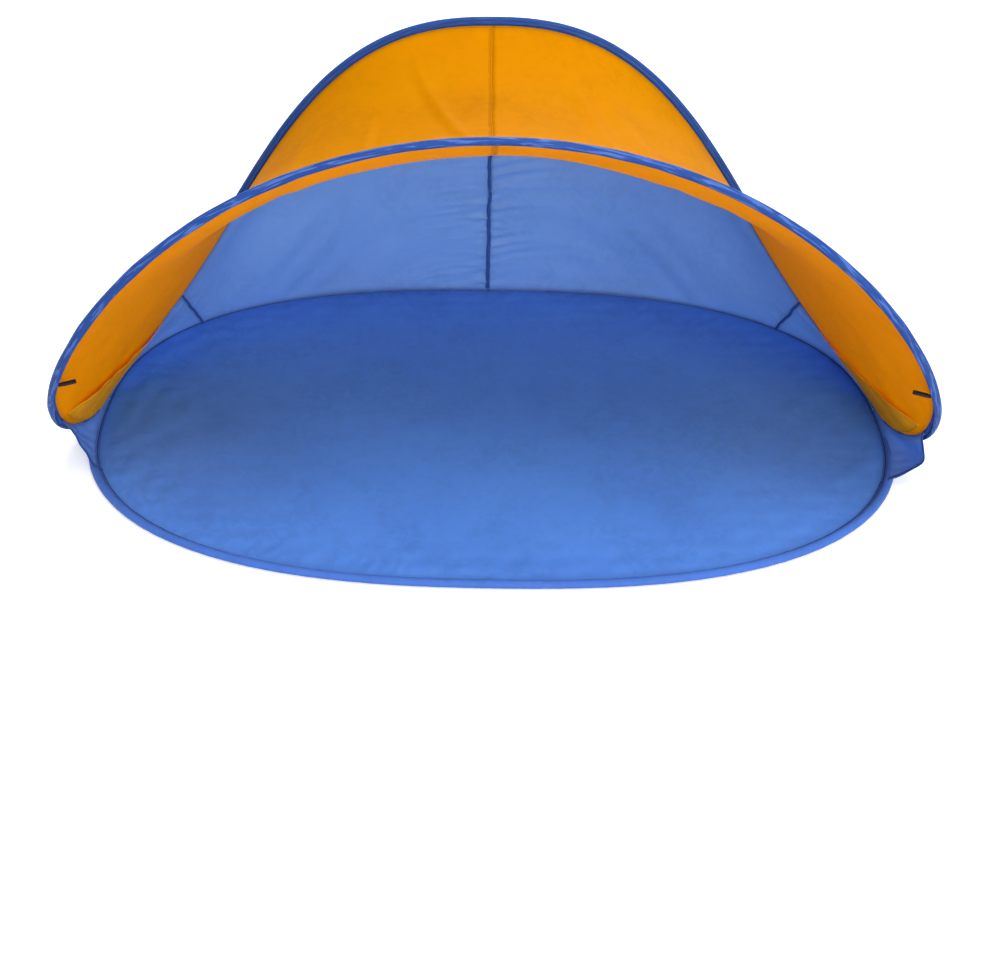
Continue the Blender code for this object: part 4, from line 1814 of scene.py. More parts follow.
@dataclass
class Roof:
    """The saddle of orange cloth, in two halves, with the seam between them."""

    plan: TentPlan
    seams: SeamPlan
    start_share: float = 0.013
    rows: int = 210
    columns: int = 110
    tape_width: float = 0.0102
    tape_lift: float = 0.0010
    seam_sway: float = 0.0022
    seam_run: float = 0.95
    lip_start: float = 0.012
    lip_rows: int = 260
    lip_columns: int = 9
    beside_share: float = 0.985
    under_reach: float = 1.3
    sleeve_hold: float = 0.16
    full_fold: float = math.radians(150.0)
    clear_angle: float = math.radians(155.0)

    def fold_at(self, spans: Array) -> Array:
        """Share of the floor's fold over the roof, from the rear arm's to the front arm's."""
        rear, front = self.plan.rear_fold_ratio, self.plan.front_fold_ratio
        return rear + (front - rear) * (1.0 - (1.0 - spans) ** 2)

    def fold_behind(self, points: Array, spans: Array, clear_angle: float) -> Array:
        """Fold shares that keep slack cloth behind the floor's front when it has folded over.

        A point nearer the fold's axis than the floor's rim turns to the clear angle at least.
        Close to a sleeve it turns with the sleeve.

        Args:
            points: Places on the cloth.
            spans: Shares of the way from the rear arm to the front arm.
            clear_angle: Angle from the open floor at which the cloth clears the folded floor.

        Returns:
            Shares of the floor's fold.
        """
        plan = self.plan
        depth = points[..., 1] - plan.contact_depth
        rise = points[..., 2] - plan.hinge_height
        aside = np.clip(np.abs(points[..., 0]) / plan.floor_half_width, 0.0, 0.999)
        power = plan.floor_round_share
        rim = plan.floor_half_depth * (1.0 - aside**power) ** (1.0 / power) + plan.contact_depth
        base = self.fold_at(spans)
        need = (clear_angle - np.arctan2(rise, -depth)) / self.full_fold
        under = 1.0 - ease(1.0, self.under_reach, np.hypot(depth, rise) / rim)
        hold = self.sleeve_hold
        free = ease(0.0, hold, spans) * ease(0.0, hold, 1.0 - spans)
        return base + under * free * np.clip(need - base, 0.0, 0.5)

    def half(self, side: Side) -> Skin:
        """One half: the saddle, let out by waves, folds and puckers along its normals.

        Args:
            side: Which half of the tent.

        Returns:
            The half's sheet.
        """
        shares = self.start_share + (1.0 - self.start_share) * graded(self.rows, 0.2)
        spans = graded(self.columns, 0.35)
        share, span = np.meshgrid(shares, spans, indexing="ij")
        calm = self.seams.roof(share, span)
        down, across = run_lengths(calm, 0), run_lengths(calm, 1)
        size = (float(down[-1, self.columns // 2]), self.seam_run)
        from_crown = down[-1:] - down
        edge = nearest_edge(across)
        free = away_from(edge, 0.035) * away_from(from_crown, 0.03)
        seed = 60 if side is Side.RIGHT else 80
        low = 1.0 - ease(0.15, 0.55, share)
        broad = Waves(seed, 4, 0.35, 0.8)(from_crown, across) * (0.0016 + 0.0014 * low)
        small = Waves(seed + 1, 6, 0.07, 0.22)(from_crown, across) * (0.0003 + 0.0010 * low)
        seam = Puckers(seed + 2, 0.040, 0.030, 0.0016)(across, from_crown)
        seam = seam * away_from(edge, 0.03) * (1.0 - np.exp(-from_crown / 0.02))
        sleeves = Puckers(seed + 3, 0.045, 0.035, 0.0011)(down, edge) * away_from(edge, 0.012)
        creases = sum(fold(from_crown, across, size) for fold in self.creases(side))
        height = free * (broad + small + creases) + seam + sleeves
        points = calm + grid_normals(calm) * height[..., None]
        points[..., 0] += self.sway(span) * np.exp(-from_crown / 0.05) * side.value
        return Skin(
            f"roof_cloth_{side.word}", points * side.mirror, "roof", Slot.ORANGE,
            (f"roof_{side.word}",), calm=calm, thickness=SHEET_THICKNESS,
            fold=self.fold_behind(calm, span, self.clear_angle),
            seams=(False, False, True, True), held="stretched",
            rests_on=("front_arch_cloth_sleeve", "rear_arch_cloth_sleeve"),
        )

    def sway(self, spans: Array) -> Array:
        """How far the centre seam wanders to the right, from the rear arm to the front arm."""
        waver = Waves(95, 3, 0.16, 0.5, 0.1)(spans, 0.0 * spans)
        return self.seam_sway * waver * np.sin(math.pi * spans)

    @staticmethod
    def creases(side: Side) -> tuple[Fold, ...]:
        """Soft creases left from packing, in shares of the way from the crown and from the rear.

        Args:
            side: Which half of the tent.

        Returns:
            The half's folds.
        """
        if side is Side.RIGHT:
            return (
                Fold((0.13, 0.10), (0.32, 0.80), 0.022, 0.0060),
                Fold((0.20, 0.08), (0.42, 0.75), 0.030, 0.0060, 0.03),
            )
        return (
            Fold((0.00, 0.64), (0.16, 0.03), 0.015, 0.0060, 0.020),
            Fold((0.22, 0.20), (0.24, 0.80), 0.014, 0.0034),
            Fold((0.36, 0.15), (0.34, 0.85), 0.022, 0.0042, -0.04),
        )

    def seam_fold(self) -> Skin:
        """The seam's turned-under lip: a puckered strip on the left half beside the centre line.

        Returns:
            The strip.
        """
        spans = np.linspace(self.lip_start, 1.0 - self.lip_start, self.lip_rows)
        span, off = np.meshgrid(spans, np.linspace(0.0, 1.0, self.lip_columns), indexing="ij")
        middle = self.seams.roof(np.ones_like(spans), spans)
        beside = self.seams.roof(np.full_like(spans, self.beside_share), spans)
        way = unit(beside - middle) * MIRROR
        up = unit(np.cross(unit(np.gradient(middle, axis=0)), way))
        up = up * np.sign(up[:, 2:3])
        run = np.repeat(run_lengths(middle, 0)[:, None], self.lip_columns, axis=1)
        waver = Waves(91, 6, 0.022, 0.09, 0.4)(run, off * 0.01)
        aside = off * self.tape_width * (1.0 + 0.06 * waver)
        edge = 1.0 - np.exp(-off / 0.12)
        inner = 1.0 - off
        lift = self.tape_lift * (0.35 + 1.5 * edge * inner**1.4) + 0.0006 * waver * edge * inner
        points = middle[:, None] + way[:, None] * aside[..., None] + up[:, None] * lift[..., None]
        points[..., 0] += self.sway(span)
        return Skin(
            "roof_seam_lip", points, "roof", Slot.ORANGE, ("roof_seam_tape",),
            fold=self.fold_at(span), thickness=SHEET_THICKNESS, seams=(False, False, True, False),
            held="stretched", rests_on=("roof_cloth_left",),
        )

    def build(self, shop: Workshop) -> None:
        """Make both halves and the seam.

        Args:
            shop: Makes the pieces.
        """
        for side in Side:
            shop.make(self.half(side))
        shop.make(self.seam_fold())


@dataclass
class Walls:
    """The blue back wall in two halves, the side walls behind the lobes, and the seam tapes."""

    plan: TentPlan
    seams: SeamPlan
    start_share: float = 0.0015
    back_fold: float = 0.012
    side_fold: float = 0.006
    tape_half_width: float = 0.00475
    side_tape_half_width: float = 0.0034
    tape_half_depth: float = 0.0010
    tape_step: float = 0.004
    tape_lift: float = 0.0026
    tape_sway: float = 0.0016

    def fold_at(self, spans: Array) -> Array:
        """Share of the floor's fold: the rear arm's at the head, none at the foot."""
        return self.plan.rear_fold_ratio * (1.0 - ease(0.0, 1.0, spans))

    def surface(self, shares: Array, spans: Array, wrinkled: bool) -> tuple[Array, Array]:
        """The wall's calm surface and its slack one, on the right half.

        Args:
            shares: Shares of the rear arm, one for each row.
            spans: Shares of the way down, one for each column.
            wrinkled: Whether the small wrinkles are added to the broad folds.

        Returns:
            The calm points and the slack points.
        """
        share, span = np.meshgrid(shares, spans, indexing="ij")
        calm = self.seams.panel(share, span, End.REAR)
        split = self.plan.seam_share
        is_back = share >= split
        along = np.where(is_back, (share - split) / (1.0 - split), share / split)
        depth = np.where(is_back, self.back_fold, self.side_fold)
        broad = np.cos(math.tau * (1.5 * along + 0.6 * span)) * hump(span) * hump(along)
        height = depth * broad
        if wrinkled:
            down, run = run_lengths(calm, 1), run_lengths(calm, 0)
            foot = down[:, -1:] - down
            free = away_from(nearest_edge(down), 0.03) * np.sqrt(hump(np.clip(along, 0.0, 1.0)))
            broad = Waves(101, 4, 0.32, 0.7)(run, down) * 0.0065
            small = Waves(102, 5, 0.09, 0.26, 0.5)(down, run * 0.6) * 0.0016
            low = np.exp(-foot / 0.10) * Waves(103, 6, 0.06, 0.18, 0.9)(run, foot) * 0.0022
            seams = Puckers(104, 0.05, 0.04, 0.0007)(run, foot)
            seams = seams + Puckers(105, 0.045, 0.03, 0.0006)(run, down)
            height = height + free * (broad + small + low + seams)
        normals = grid_normals(calm)
        inside = np.sign(np.sum(normals * (INSIDE_POINT - calm), axis=-1))
        return calm, calm + normals * (inside * height)[..., None]

    def seam_puckers(self, points: Array, edge_run: Array, seed: int, centred: bool) -> Array:
        """Wrinkles square to an upright seam, in metres along the grid's normals.

        Args:
            points: The calm grid.
            edge_run: Distances from the seam.
            seed: Seed of the wrinkles.
            centred: Whether the seam is the one at the back.

        Returns:
            Heights that start from nothing at the seam.
        """
        down = run_lengths(points, 1)
        if centred:
            near, far = (0.016, 0.035, 0.0040), (0.034, 0.100, 0.0060)
        else:
            near, far = (0.017, 0.016, 0.0016), (0.036, 0.035, 0.0014)
        height = Puckers(seed, *near)(down, edge_run) + Puckers(seed + 20, *far)(down, edge_run)
        return height * away_from(edge_run, 0.006)

    def half(self, side: Side, is_back: bool) -> Skin:
        """Half of the back wall, or one side wall.

        Args:
            side: Which half of the tent.
            is_back: Whether it belongs to the back wall.

        Returns:
            The sheet.
        """
        split = self.plan.seam_share
        word = "back_wall" if is_back else "side_wall"
        if is_back:
            shares = split + (1.0 - split) * graded(170, 0.35)
        else:
            shares = self.start_share + (split - self.start_share) * graded(60, 0.3)
        spans = graded(150, 0.2)
        calm, points = self.surface(shares, spans, True)
        run = run_lengths(calm, 0)
        height = self.seam_puckers(calm, run[-1:] - run, 111 + side.value, is_back)
        if is_back:
            height = height + self.seam_puckers(calm, run, 115 + side.value, False)
        down = run_lengths(calm, 1)
        height = height * away_from(nearest_edge(down), 0.02)
        if is_back and side is Side.LEFT:
            size = (float(run[-1].mean()), float(down[:, -1].mean()))
            height = height + Fold((0.42, 0.10), (0.58, 0.34), 0.012, 0.006)(run, down, size)
        points = points + grid_normals(calm) * height[..., None]
        fold = np.repeat(self.fold_at(spans)[None], len(shares), axis=0)
        return Skin(
            f"{word}_cloth_{side.word}", points * side.mirror, "wall", Slot.BLUE,
            (f"{word}_{side.word}",), fold=fold, calm=calm, thickness=SHEET_THICKNESS,
            seams=(is_back, True, True, True), held="stretched",
            rests_on=("rear_arch_cloth_sleeve", "groundsheet_hem"),
        )

    def tape(self, place: str, side: Side, centred: bool) -> Skin:
        """A folded tape over an upright seam: a flat oval profile that sways down the cloth.

        Args:
            place: Name of the seam.
            side: Which half of the tent.
            centred: Whether it lies on the centre line.

        Returns:
            The tape.
        """
        spans = np.linspace(0.015, 0.985, 150)
        share = 1.0 if centred else self.plan.seam_share
        rows = share + self.tape_step * np.array([-1.0, 0.0] if centred else [-1.0, 0.0, 1.0])
        _, near = self.surface(rows, spans, False)
        middle = near[1]
        way = np.broadcast_to(ACROSS, middle.shape) if centred else unit(near[2] - middle)
        inside = unit(np.cross(unit(np.gradient(middle, axis=0)), way))
        inside = inside * np.sign(np.sum(inside * (INSIDE_POINT - middle), axis=-1))[:, None]
        run = run_lengths(middle, 0)
        sway = Waves(123 + side.value, 3, 0.06, 0.20, 0.1)(run, 0.0 * run)
        sway = (self.tape_sway * sway * np.sin(math.pi * spans))[:, None]
        half = self.tape_half_width if centred else self.side_tape_half_width
        waves = Waves(121, 6, 0.02, 0.08, 0.4)
        band = Band(half, self.tape_half_depth, 14, waves, 0.08, wavy_width=True)
        path = middle + way * sway + inside * self.tape_lift
        return tube(
            place.replace("seam", "seam_binding"),
            band.carried(middle, path, way, inside) * side.mirror,
            "tape", Slot.DEEP_BLUE, place.replace("seam", "seam_tape"),
            fold=np.repeat(self.fold_at(spans)[:, None], band.sides, axis=1),
        )

    def build(self, shop: Workshop) -> None:
        """Make the walls and their tapes.

        Args:
            shop: Makes the pieces.
        """
        for side in Side:
            shop.make(self.half(side, True))
            shop.make(self.half(side, False))
            shop.make(self.tape(f"side_seam_{side.word}", side, False))
        shop.make(self.tape("back_seam", Side.RIGHT, True))


@dataclass
class Gussets:
    """The blue gussets between the lobes' front edges and the floor, with hems on their fronts."""

    plan: TentPlan
    seams: SeamPlan
    floor: Groundsheet
    start_share: float = 0.0015
    hem_half_width: float = 0.0056
    hem_half_depth: float = 0.0016
    hem_out_share: float = 0.6
    hem_step: float = 0.006
    kink_share: float = 0.52
    flap: dict[Side, Place] = field(
        default_factory=lambda: {Side.RIGHT: (0.034, -0.004, 0.0), Side.LEFT: (-0.006, 0.012, 0.0)}
    )

    def fold_at(self, points: Array, shares: Array, spans: Array) -> Array:
        """Share of the floor's fold: the hoop's at the head, the floor's at the foot.

        Args:
            points: The calm grid.
            shares: Shares of the front arm.
            spans: Shares of the way down.

        Returns:
            Shares of the fold.
        """
        head = self.plan.ring_ratio(-shares)[:, None]
        foot = self.floor.fold_at(points[:, -1:, 1])
        return head + (foot - head) * ease(0.0, 1.0, spans)

    def surface(self, shares: Array, spans: Array, side: Side) -> tuple[Array, Array]:
        """The gusset's calm points and its slack ones: a diagonal fold and a corner pushed out.

        Args:
            shares: Shares of the front arm.
            spans: Shares of the way down.
            side: Which half of the tent.

        Returns:
            Both grids, on the right half.
        """
        span = np.repeat(spans[None], len(shares), axis=0)
        calm = self.seams.panel(np.repeat(shares[:, None], len(spans), axis=1), span, End.FRONT)
        run, down = run_lengths(calm, 0), run_lengths(calm, 1)
        out = (shares / shares[-1])[:, None]
        broad = 0.010 * np.cos(math.pi * (1.1 * span - 0.9 * out + 0.2))
        small = 0.0020 * Waves(131, 6, 0.04, 0.14, 0.9)(run, down)
        free = away_from(nearest_edge(down), 0.018) * ease(0.0, 0.8, out)
        points = calm + grid_normals(calm) * (free * (broad * hump(span) + small))[..., None]
        kink = self.kink_share
        corner = np.minimum(ease(0.0, kink, span), ease(0.0, 1.0 - kink, 1.0 - span))
        corner = corner * ease(0.25, 1.0, out)
        return calm, points + np.array(self.flap[side]) * corner[..., None]

    def half(self, side: Side) -> Skin:
        """One gusset's sheet.

        Args:
            side: Which half of the tent.

        Returns:
            The sheet.
        """
        top = self.plan.gusset_top_share
        shares = self.start_share + (top - self.start_share) * graded(80, 0.2)
        spans = graded(44, 0.3)
        calm, points = self.surface(shares, spans, side)
        fold = self.fold_at(calm, shares, spans[None])
        return Skin(
            f"gusset_cloth_{side.word}", points * side.mirror, "gusset", Slot.BLUE,
            (f"gusset_{side.word}",), fold=fold, calm=calm, thickness=SHEET_THICKNESS,
            seams=(False, True, True, True), held="stretched",
            rests_on=(f"lobe_cloth_sleeve_{side.word}", "groundsheet_hem"),
        )

    def hem(self, side: Side) -> Skin:
        """The turned hem on a gusset's front edge: a flat oval profile carried down the edge.

        Args:
            side: Which half of the tent.

        Returns:
            The hem.
        """
        top = self.plan.gusset_top_share
        shares = np.array([self.start_share, top - self.hem_step, top])
        spans = np.linspace(0.01, 0.99, 90)
        _, near = self.surface(shares, spans, side)
        band = Band(
            self.hem_half_width, self.hem_half_depth, 18, Waves(141, 5, 0.015, 0.06, 0.4), 0.07
        )
        points = band.along_edge(near, self.hem_out_share)
        fold = self.fold_at(near, shares, spans[None])[2]
        return tube(
            f"gusset_turned_hem_{side.word}", points * side.mirror, "tape", Slot.DEEP_BLUE,
            f"gusset_hem_{side.word}", fold=np.repeat(fold[:, None], band.sides, axis=1),
        )

    def build(self, shop: Workshop) -> None:
        """Make the gussets and their hems.

        Args:
            shop: Makes the pieces.
        """
        for side in Side:
            shop.make(self.half(side))
            shop.make(self.hem(side))


@dataclass
class Pockets:
    """The storage pockets inside the lobes: a second layer of roof cloth with a hemmed mouth."""

    plan: TentPlan
    seams: SeamPlan
    roof: Roof
    start_share: float = 0.05
    edge_share: float = 0.04
    bulge: float = 0.0085
    stand_off: float = 0.0026
    fold_gap: float = math.radians(0.8)
    hem_half_width: float = 0.0048
    hem_half_depth: float = 0.0012
    hem_out_share: float = 0.5
    hem_step: float = 0.006

    def surface(self, shares: Array, spans: Array) -> tuple[Array, Array]:
        """The pocket's layer: the roof let in towards the tent by a bulge that grows to the mouth.

        Args:
            shares: Shares of the arms.
            spans: Shares of the way from the rear arm.

        Returns:
            The calm grid and the slack one, on the right half.
        """
        share, span = np.meshgrid(shares, spans, indexing="ij")
        calm = self.seams.roof(share, span)
        _, _, inward, _ = self.seams.roof_parts(shares)
        top = self.plan.pocket_top_share
        rise = ease(0.0, 1.0, (share - self.start_share) / (top - self.start_share))
        inner = (span - self.edge_share) / (1.0 - 2.0 * self.edge_share)
        middle = hump(np.clip(inner, 0.0, 1.0))
        out = self.stand_off + self.bulge * rise * middle
        down, across = run_lengths(calm, 0), run_lengths(calm, 1)
        wave = Waves(151, 6, 0.05, 0.2, 1.2)(across, down)
        sag = Waves(152, 4, 0.12, 0.4, 0.4)(across, down)
        out = out + middle * rise * (0.0016 * wave + 0.0030 * sag)
        out = out + 0.0012 * (1.0 + wave) * (1.0 - rise)
        return calm, calm + inward[:, None] * np.maximum(out, 0.0016)[..., None]

    def fold_at(self, points: Array, spans: Array) -> Array:
        """Share of the floor's fold, a little short of the roof's, so that the layers stay apart."""
        return self.roof.fold_behind(points, spans, self.roof.clear_angle - self.fold_gap)

    def layer(self, side: Side) -> Skin:
        """The pocket's sheet on one side.

        Args:
            side: Which half of the tent.

        Returns:
            The sheet.
        """
        shares = self.start_share + (self.plan.pocket_top_share - self.start_share) * graded(70, 0.2)
        spans = self.edge_share + (1.0 - 2.0 * self.edge_share) * graded(90, 0.3)
        calm, points = self.surface(shares, spans)
        return Skin(
            f"pocket_cloth_{side.word}", points * side.mirror, "pocket", Slot.ORANGE,
            (f"pocket_{side.word}",), fold=self.fold_at(calm, spans[None]), calm=calm,
            thickness=SHEET_THICKNESS,
            seams=(True, False, True, True), held="stretched",
            rests_on=(f"roof_cloth_{side.word}",),
        )

    def hem(self, side: Side) -> Skin:
        """The mouth's hem: a flat oval profile carried along the mouth.

        Args:
            side: Which half of the tent.

        Returns:
            The hem.
        """
        top = self.plan.pocket_top_share
        shares = np.array([self.start_share, top - self.hem_step, top])
        spans = np.linspace(self.edge_share, 1.0 - self.edge_share, 120)
        calm, near = self.surface(shares, spans)
        band = Band(
            self.hem_half_width, self.hem_half_depth, 16, Waves(161, 5, 0.015, 0.06, 0.4), 0.08
        )
        points = band.along_edge(near, self.hem_out_share)
        fold = self.fold_at(calm[2], spans)
        return tube(
            f"pocket_mouth_hem_{side.word}", points * side.mirror, "pocket", Slot.ORANGE,
            f"pocket_hem_{side.word}", fold=np.repeat(fold[:, None], band.sides, axis=1),
        )

    def build(self, shop: Workshop) -> None:
        """Make the pockets and their hems.

        Args:
            shop: Makes the pieces.
        """
        for side in Side:
            shop.make(self.layer(side))
            shop.make(self.hem(side))


@dataclass
class TieLoops:
    """Short loops of black webbing sewn to the front arch's sleeve."""

    pivot: Place = (0.968582, -0.338691, 0.333777)
    axis: Place = (-0.35907, -0.295721, 0.885222)
    along: Place = (-0.9078, 0.3308, 0.06)
    length: float = 0.034
    depth: float = 0.006
    width: float = 0.011
    web: float = 0.0012
    root_back: float = 0.005
    sides: int = 16
    steps: int = 120
    root_steps: int = 14

    def directions(self, side: Side) -> tuple[Array, Array, Array, Array]:
        """The strap's root, the way it points, its width's way and the way square to both.

        Args:
            side: Which half of the tent.

        Returns:
            A place and three unit directions.
        """
        along = unit(np.array(self.along) * side.mirror)
        axis = square_to(along, np.array(self.axis) * side.mirror)
        return np.array(self.pivot) * side.mirror, along, axis, unit(np.cross(axis, along))

    def strap(self, path: Array, thick_way: Array, axis: Array, thick: Array, half: float) -> Array:
        """Carry the strap's thin rounded oblong along a path.

        Args:
            path: Points of the path.
            thick_way: Direction of the thickness at each point.
            axis: Direction of the width.
            thick: Half thickness, one for each point.
            half: Half width.

        Returns:
            A grid of points, by path and by place round the profile.
        """
        turn = round_angles(self.sides)
        part_a = thick[:, None] * signed_power(np.sin(turn), 0.5)
        part_b = half * signed_power(np.cos(turn), 0.35)[None]
        return swept(path, thick_way, np.broadcast_to(axis, path.shape), part_a, part_b)

    def loop(self, side: Side) -> Skin:
        """A strap bent into a long loop: a stadium in the plane square to the sleeve's run.

        Args:
            side: Which half of the tent.

        Returns:
            The loop.
        """
        root, along, axis, third = self.directions(side)
        straight = self.length - self.depth
        radius = (self.depth - self.web) / 2.0
        arc = math.pi * radius
        run = np.linspace(0.0, 2.0 * (straight + arc), self.steps, endpoint=False)
        turned = np.clip(run - straight, 0.0, arc) + np.clip(run - 2.0 * straight - arc, 0.0, arc)
        sine, cosine = np.sin(turned / radius)[:, None], np.cos(turned / radius)[:, None]
        centre = np.clip(run, 0.0, straight) - np.clip(run - straight - arc, 0.0, straight)
        outward = along * sine + third * cosine
        path = root + along * (centre + self.depth / 2.0)[:, None] + outward * radius
        half_web = np.full(self.steps, self.web / 2.0)
        return tube(
            f"webbing_loop_{side.word}",
            self.strap(path, outward, axis, half_web, self.width / 2.0),
            "webbing", Slot.WEBBING, f"tie_loop_{side.word}",
            body=f"tie_loop_{side.word}", closed_rows=True,
        )

    def root(self, side: Side) -> Skin:
        """The strap's sewn end: a flat oblong profile that tapers into the sleeve's lip.

        Args:
            side: Which half of the tent.

        Returns:
            The sewn end.
        """
        start, along, axis, third = self.directions(side)
        share = np.linspace(0.0, 1.0, self.root_steps)
        path = start + along * (self.root_back * (2.0 * share - 1.35))[:, None]
        thick = self.web * (1.1 + 0.9 * np.sin(math.pi * share) ** 0.5)
        thirds = np.broadcast_to(third, path.shape)
        return tube(
            f"webbing_root_{side.word}",
            self.strap(path, thirds, axis, thick, self.width * 0.52),
            "webbing", Slot.WEBBING, body="front_arch",
        )

    def build(self, shop: Workshop) -> None:
        """Make both loops and their sewn ends.

        Args:
            shop: Makes the pieces.
        """
        for side in Side:
            shop.make(self.loop(side))
            shop.make(self.root(side))


@dataclass
class Bindings:
    """Thin bound seams where the roof and walls meet the sleeve, and where walls meet the floor."""

    plan: TentPlan
    seams: SeamPlan
    floor: Groundsheet
    radius: float = 0.0009
    start_share: float = 0.013
    sides: int = 8

    def head(self, end: End, side: Side) -> Skin:
        """The bound seam along one arm of the hoop.

        Args:
            end: Which arm.
            side: Which half of the tent.

        Returns:
            The bound seam.
        """
        shares = np.linspace(self.start_share, 1.0, 260)
        path = self.seams.head(shares, end) * side.mirror
        fold = self.plan.ring_ratio(shares * end.value)
        return self._tube(f"hoop_seam_{end.name.lower()}_{side.word}", path, fold)

    def foot(self, end: End, side: Side) -> Skin:
        """The bound seam between the floor and a side's walls or gusset.

        Args:
            end: Rear for the walls and front for the gusset.
            side: Which half of the tent.

        Returns:
            The bound seam.
        """
        last = 1.0 if end is End.REAR else self.plan.gusset_top_share
        shares = np.linspace(self.start_share, last, 220)
        path = self.seams.foot(shares, end) * side.mirror
        fold = self.floor.fold_at(path[:, 1]) if end is End.FRONT else np.zeros(len(shares))
        return self._tube(f"floor_seam_{end.name.lower()}_{side.word}", path, fold)

    def _tube(self, name: str, path: Array, fold: Array) -> Skin:
        """A small round carried along a seam.

        Args:
            name: Name of the piece.
            path: Points of the seam.
            fold: Their fold shares.

        Returns:
            The bound seam.
        """
        ways = unit(np.gradient(path, axis=0))
        side_way = unit(np.cross(ways, UP + 0.01))
        turn = round_angles(self.sides)[None]
        run = run_lengths(path, 0)
        swell = 1.0 + 0.12 * Waves(171, 4, 0.012, 0.05, 0.2)(run, 0.0 * run)
        radius = (self.radius * swell)[:, None]
        other = np.cross(side_way, ways)
        points = swept(path, side_way, other, radius * np.cos(turn), radius * np.sin(turn))
        folds = np.repeat(fold[:, None], self.sides, axis=1)
        return tube(name, points, "tape", Slot.DEEP_BLUE, fold=folds)

    def build(self, shop: Workshop) -> None:
        """Make the bound seams.

        Args:
            shop: Makes the pieces.
        """
        for side in Side:
            for end in End:
                shop.make(self.head(end, side))
                shop.make(self.foot(end, side))


@dataclass
class SteelParts:
    """The frame's own wires and ferrules, which stay and get the steel finish."""

    nodes: tuple[str, ...] = (
        "floor_hoop_front",
        "floor_hoop_rear",
        "floor_hoop_ferrule",
        "front_arch_wire",
        "rear_arch_wire",
        "roof_hoop_ferrule",
    )

    def dress(self, frame: dict, paints: Paints) -> None:
        """Put the steel finish on each node.

        Args:
            frame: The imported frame.
            paints: The finishes.
        """
        for word in self.nodes:
            node = frame["nodes"][word]
            node.data.materials.clear()
            node.data.materials.append(paints["steel"])
            LOG.info("%s: spring steel", word)


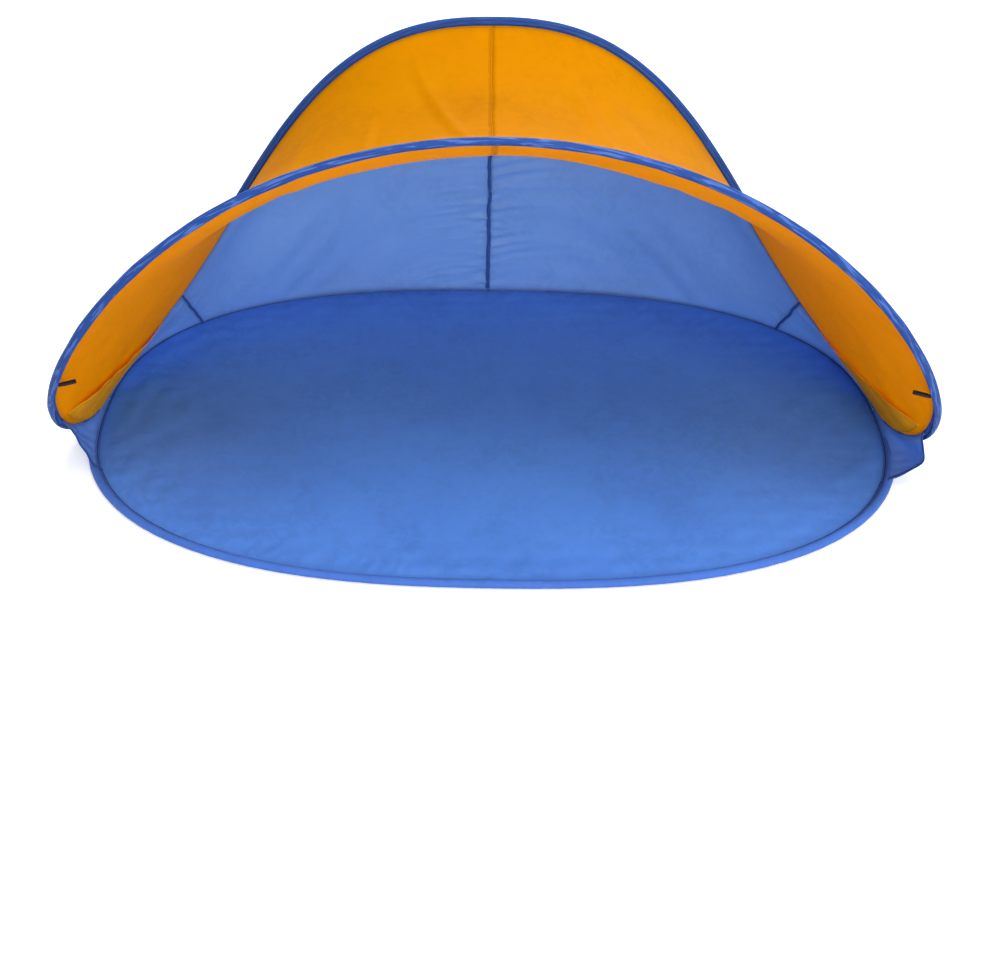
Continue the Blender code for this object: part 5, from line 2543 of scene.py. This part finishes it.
@dataclass
class Studio:
    """Pale floor, white surroundings, soft lamps and the camera."""

    lens: float = 52.2
    shift: tuple[float, float] = (0.07, -0.17)
    place: Place = (-0.046, -2.964, 2.248)
    pitch: float = 0.575
    yaw: float = -0.034
    roll: float = -0.007
    floor_half: float = 12.0
    sky_strength: float = 0.50
    floor_glow: float = 0.42
    sensor: float = 36.0
    farthest: float = 60.0
    aim: Place = (0.0, 0.0, 0.35)
    lamps: tuple[tuple[str, Place, float, float], ...] = (
        ("top_lamp", (0.5, -1.2, 5.2), 2.6, 126.0),
        ("front_lamp", (1.5, -4.9, 2.7), 2.6, 168.0),
        ("back_lamp", (0.8, 4.6, 2.2), 3.0, 125.0),
    )

    def camera(self) -> None:
        """Set the camera where the hoops' outlines fit the photograph."""
        sine_p, cosine_p = math.sin(self.pitch), math.cos(self.pitch)
        sine_y, cosine_y = math.sin(self.yaw), math.cos(self.yaw)
        forward = Vector((sine_y * cosine_p, cosine_y * cosine_p, -sine_p))
        right = Vector((cosine_y, -sine_y, 0.0))
        up = right.cross(forward)
        sine_r, cosine_r = math.sin(self.roll), math.cos(self.roll)
        x_axis = right * cosine_r + up * sine_r
        y_axis = up * cosine_r - right * sine_r
        turn = Matrix((x_axis, y_axis, -forward)).transposed()
        data = bpy.data.cameras.new("camera")
        data.lens = self.lens
        data.sensor_width = self.sensor
        data.sensor_fit = "HORIZONTAL"
        data.shift_x, data.shift_y = self.shift
        data.clip_end = self.farthest
        camera = put_in_scene("camera", data)
        camera.matrix_world = Matrix.Translation(self.place) @ turn.to_4x4()
        bpy.context.scene.camera = camera

    def floor(self) -> None:
        """Lay a pale floor that takes the shadow and shows white to the camera elsewhere."""
        half = self.floor_half
        corners = [(-half, -half, 0.0), (half, -half, 0.0), (half, half, 0.0), (-half, half, 0.0)]
        mesh = bpy.data.meshes.new("studio_floor")
        mesh.from_pydata(corners, [], [(0, 1, 2, 3)])
        board = Swatch("studio_floor")
        board.set(
            Base_Color=Tone(236, 236, 236).linear,
            Roughness=0.9,
            Specular_IOR_Level=0.1,
            Emission_Color=WHITE,
            Emission_Strength=board.times(self.seen(board), self.floor_glow),
        )
        mesh.materials.append(board.made)
        put_in_scene("studio_floor", mesh)

    @staticmethod
    def seen(board: Board) -> Socket:
        """1 where the camera sees a place by itself, by gloss or through a clear piece, 0 elsewhere.

        Args:
            board: Where the nodes are added.

        Returns:
            The mask.
        """
        rays = board.add("LightPath").outputs
        seen = board.math("MAXIMUM", rays["Is Camera Ray"], rays["Is Glossy Ray"])
        return board.math("MAXIMUM", seen, rays["Is Transmission Ray"])

    def sky(self) -> None:
        """Surround the tent with soft grey light that looks white to the camera."""
        world = bpy.data.worlds.new("studio")
        world.use_nodes = True
        board = Board(world.node_tree)
        back = world.node_tree.nodes["Background"]
        back.inputs["Color"].default_value = WHITE
        strength = board.step(self.seen(board), 0.0, 1.0, self.sky_strength, 1.0)
        board.feed(strength, back.inputs["Strength"])
        bpy.context.scene.world = world

    def lamp(self, name: str, place: Vector, size: float, power: float) -> None:
        """Hang one square soft box that points at the tent.

        Args:
            name: Its name.
            place: Its place.
            size: Its side.
            power: Its watts.
        """
        data = bpy.data.lights.new(name, "AREA")
        data.shape = "SQUARE"
        data.size = size
        data.energy = power
        turn = (place - Vector(self.aim)).to_track_quat("Z", "Y").to_matrix().to_4x4()
        put_in_scene(name, data).matrix_world = Matrix.Translation(place) @ turn

    def build(self) -> None:
        """Set the camera, floor, surroundings and lamps."""
        self.camera()
        self.floor()
        self.sky()
        for name, place, size, power in self.lamps:
            self.lamp(name, Vector(place), size, power)
        bpy.context.scene.view_settings.view_transform = "Standard"


@dataclass
class BeachTent:
    """The whole tent: every sub-assembly on the same two hoops."""

    plan: TentPlan = field(default_factory=TentPlan)

    def build(self, frame: dict, paints: Paints) -> None:
        """Build and dress every sub-assembly.

        Args:
            frame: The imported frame.
            paints: The finishes.
        """
        shop = Workshop(paints)
        seams = SeamPlan(self.plan)
        floor = Groundsheet(self.plan, seams)
        roof = Roof(self.plan, seams)
        floor.build(shop)
        RoofHoop(self.plan, seams).build(shop)
        roof.build(shop)
        Walls(self.plan, seams).build(shop)
        Gussets(self.plan, seams, floor).build(shop)
        Pockets(self.plan, seams, roof).build(shop)
        Bindings(self.plan, seams, floor).build(shop)
        TieLoops().build(shop)
        SteelParts().dress(frame, paints)


def main() -> None:
    """Load the frame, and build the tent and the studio."""
    logging.basicConfig(level=logging.INFO, format="%(name)s %(message)s")
    for made in list(bpy.data.objects):
        bpy.data.objects.remove(made, do_unlink=True)
    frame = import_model()
    BeachTent().build(frame, Paints())
    Studio().build()
    bpy.context.view_layer.update()


if __name__ == "__main__":
    main()
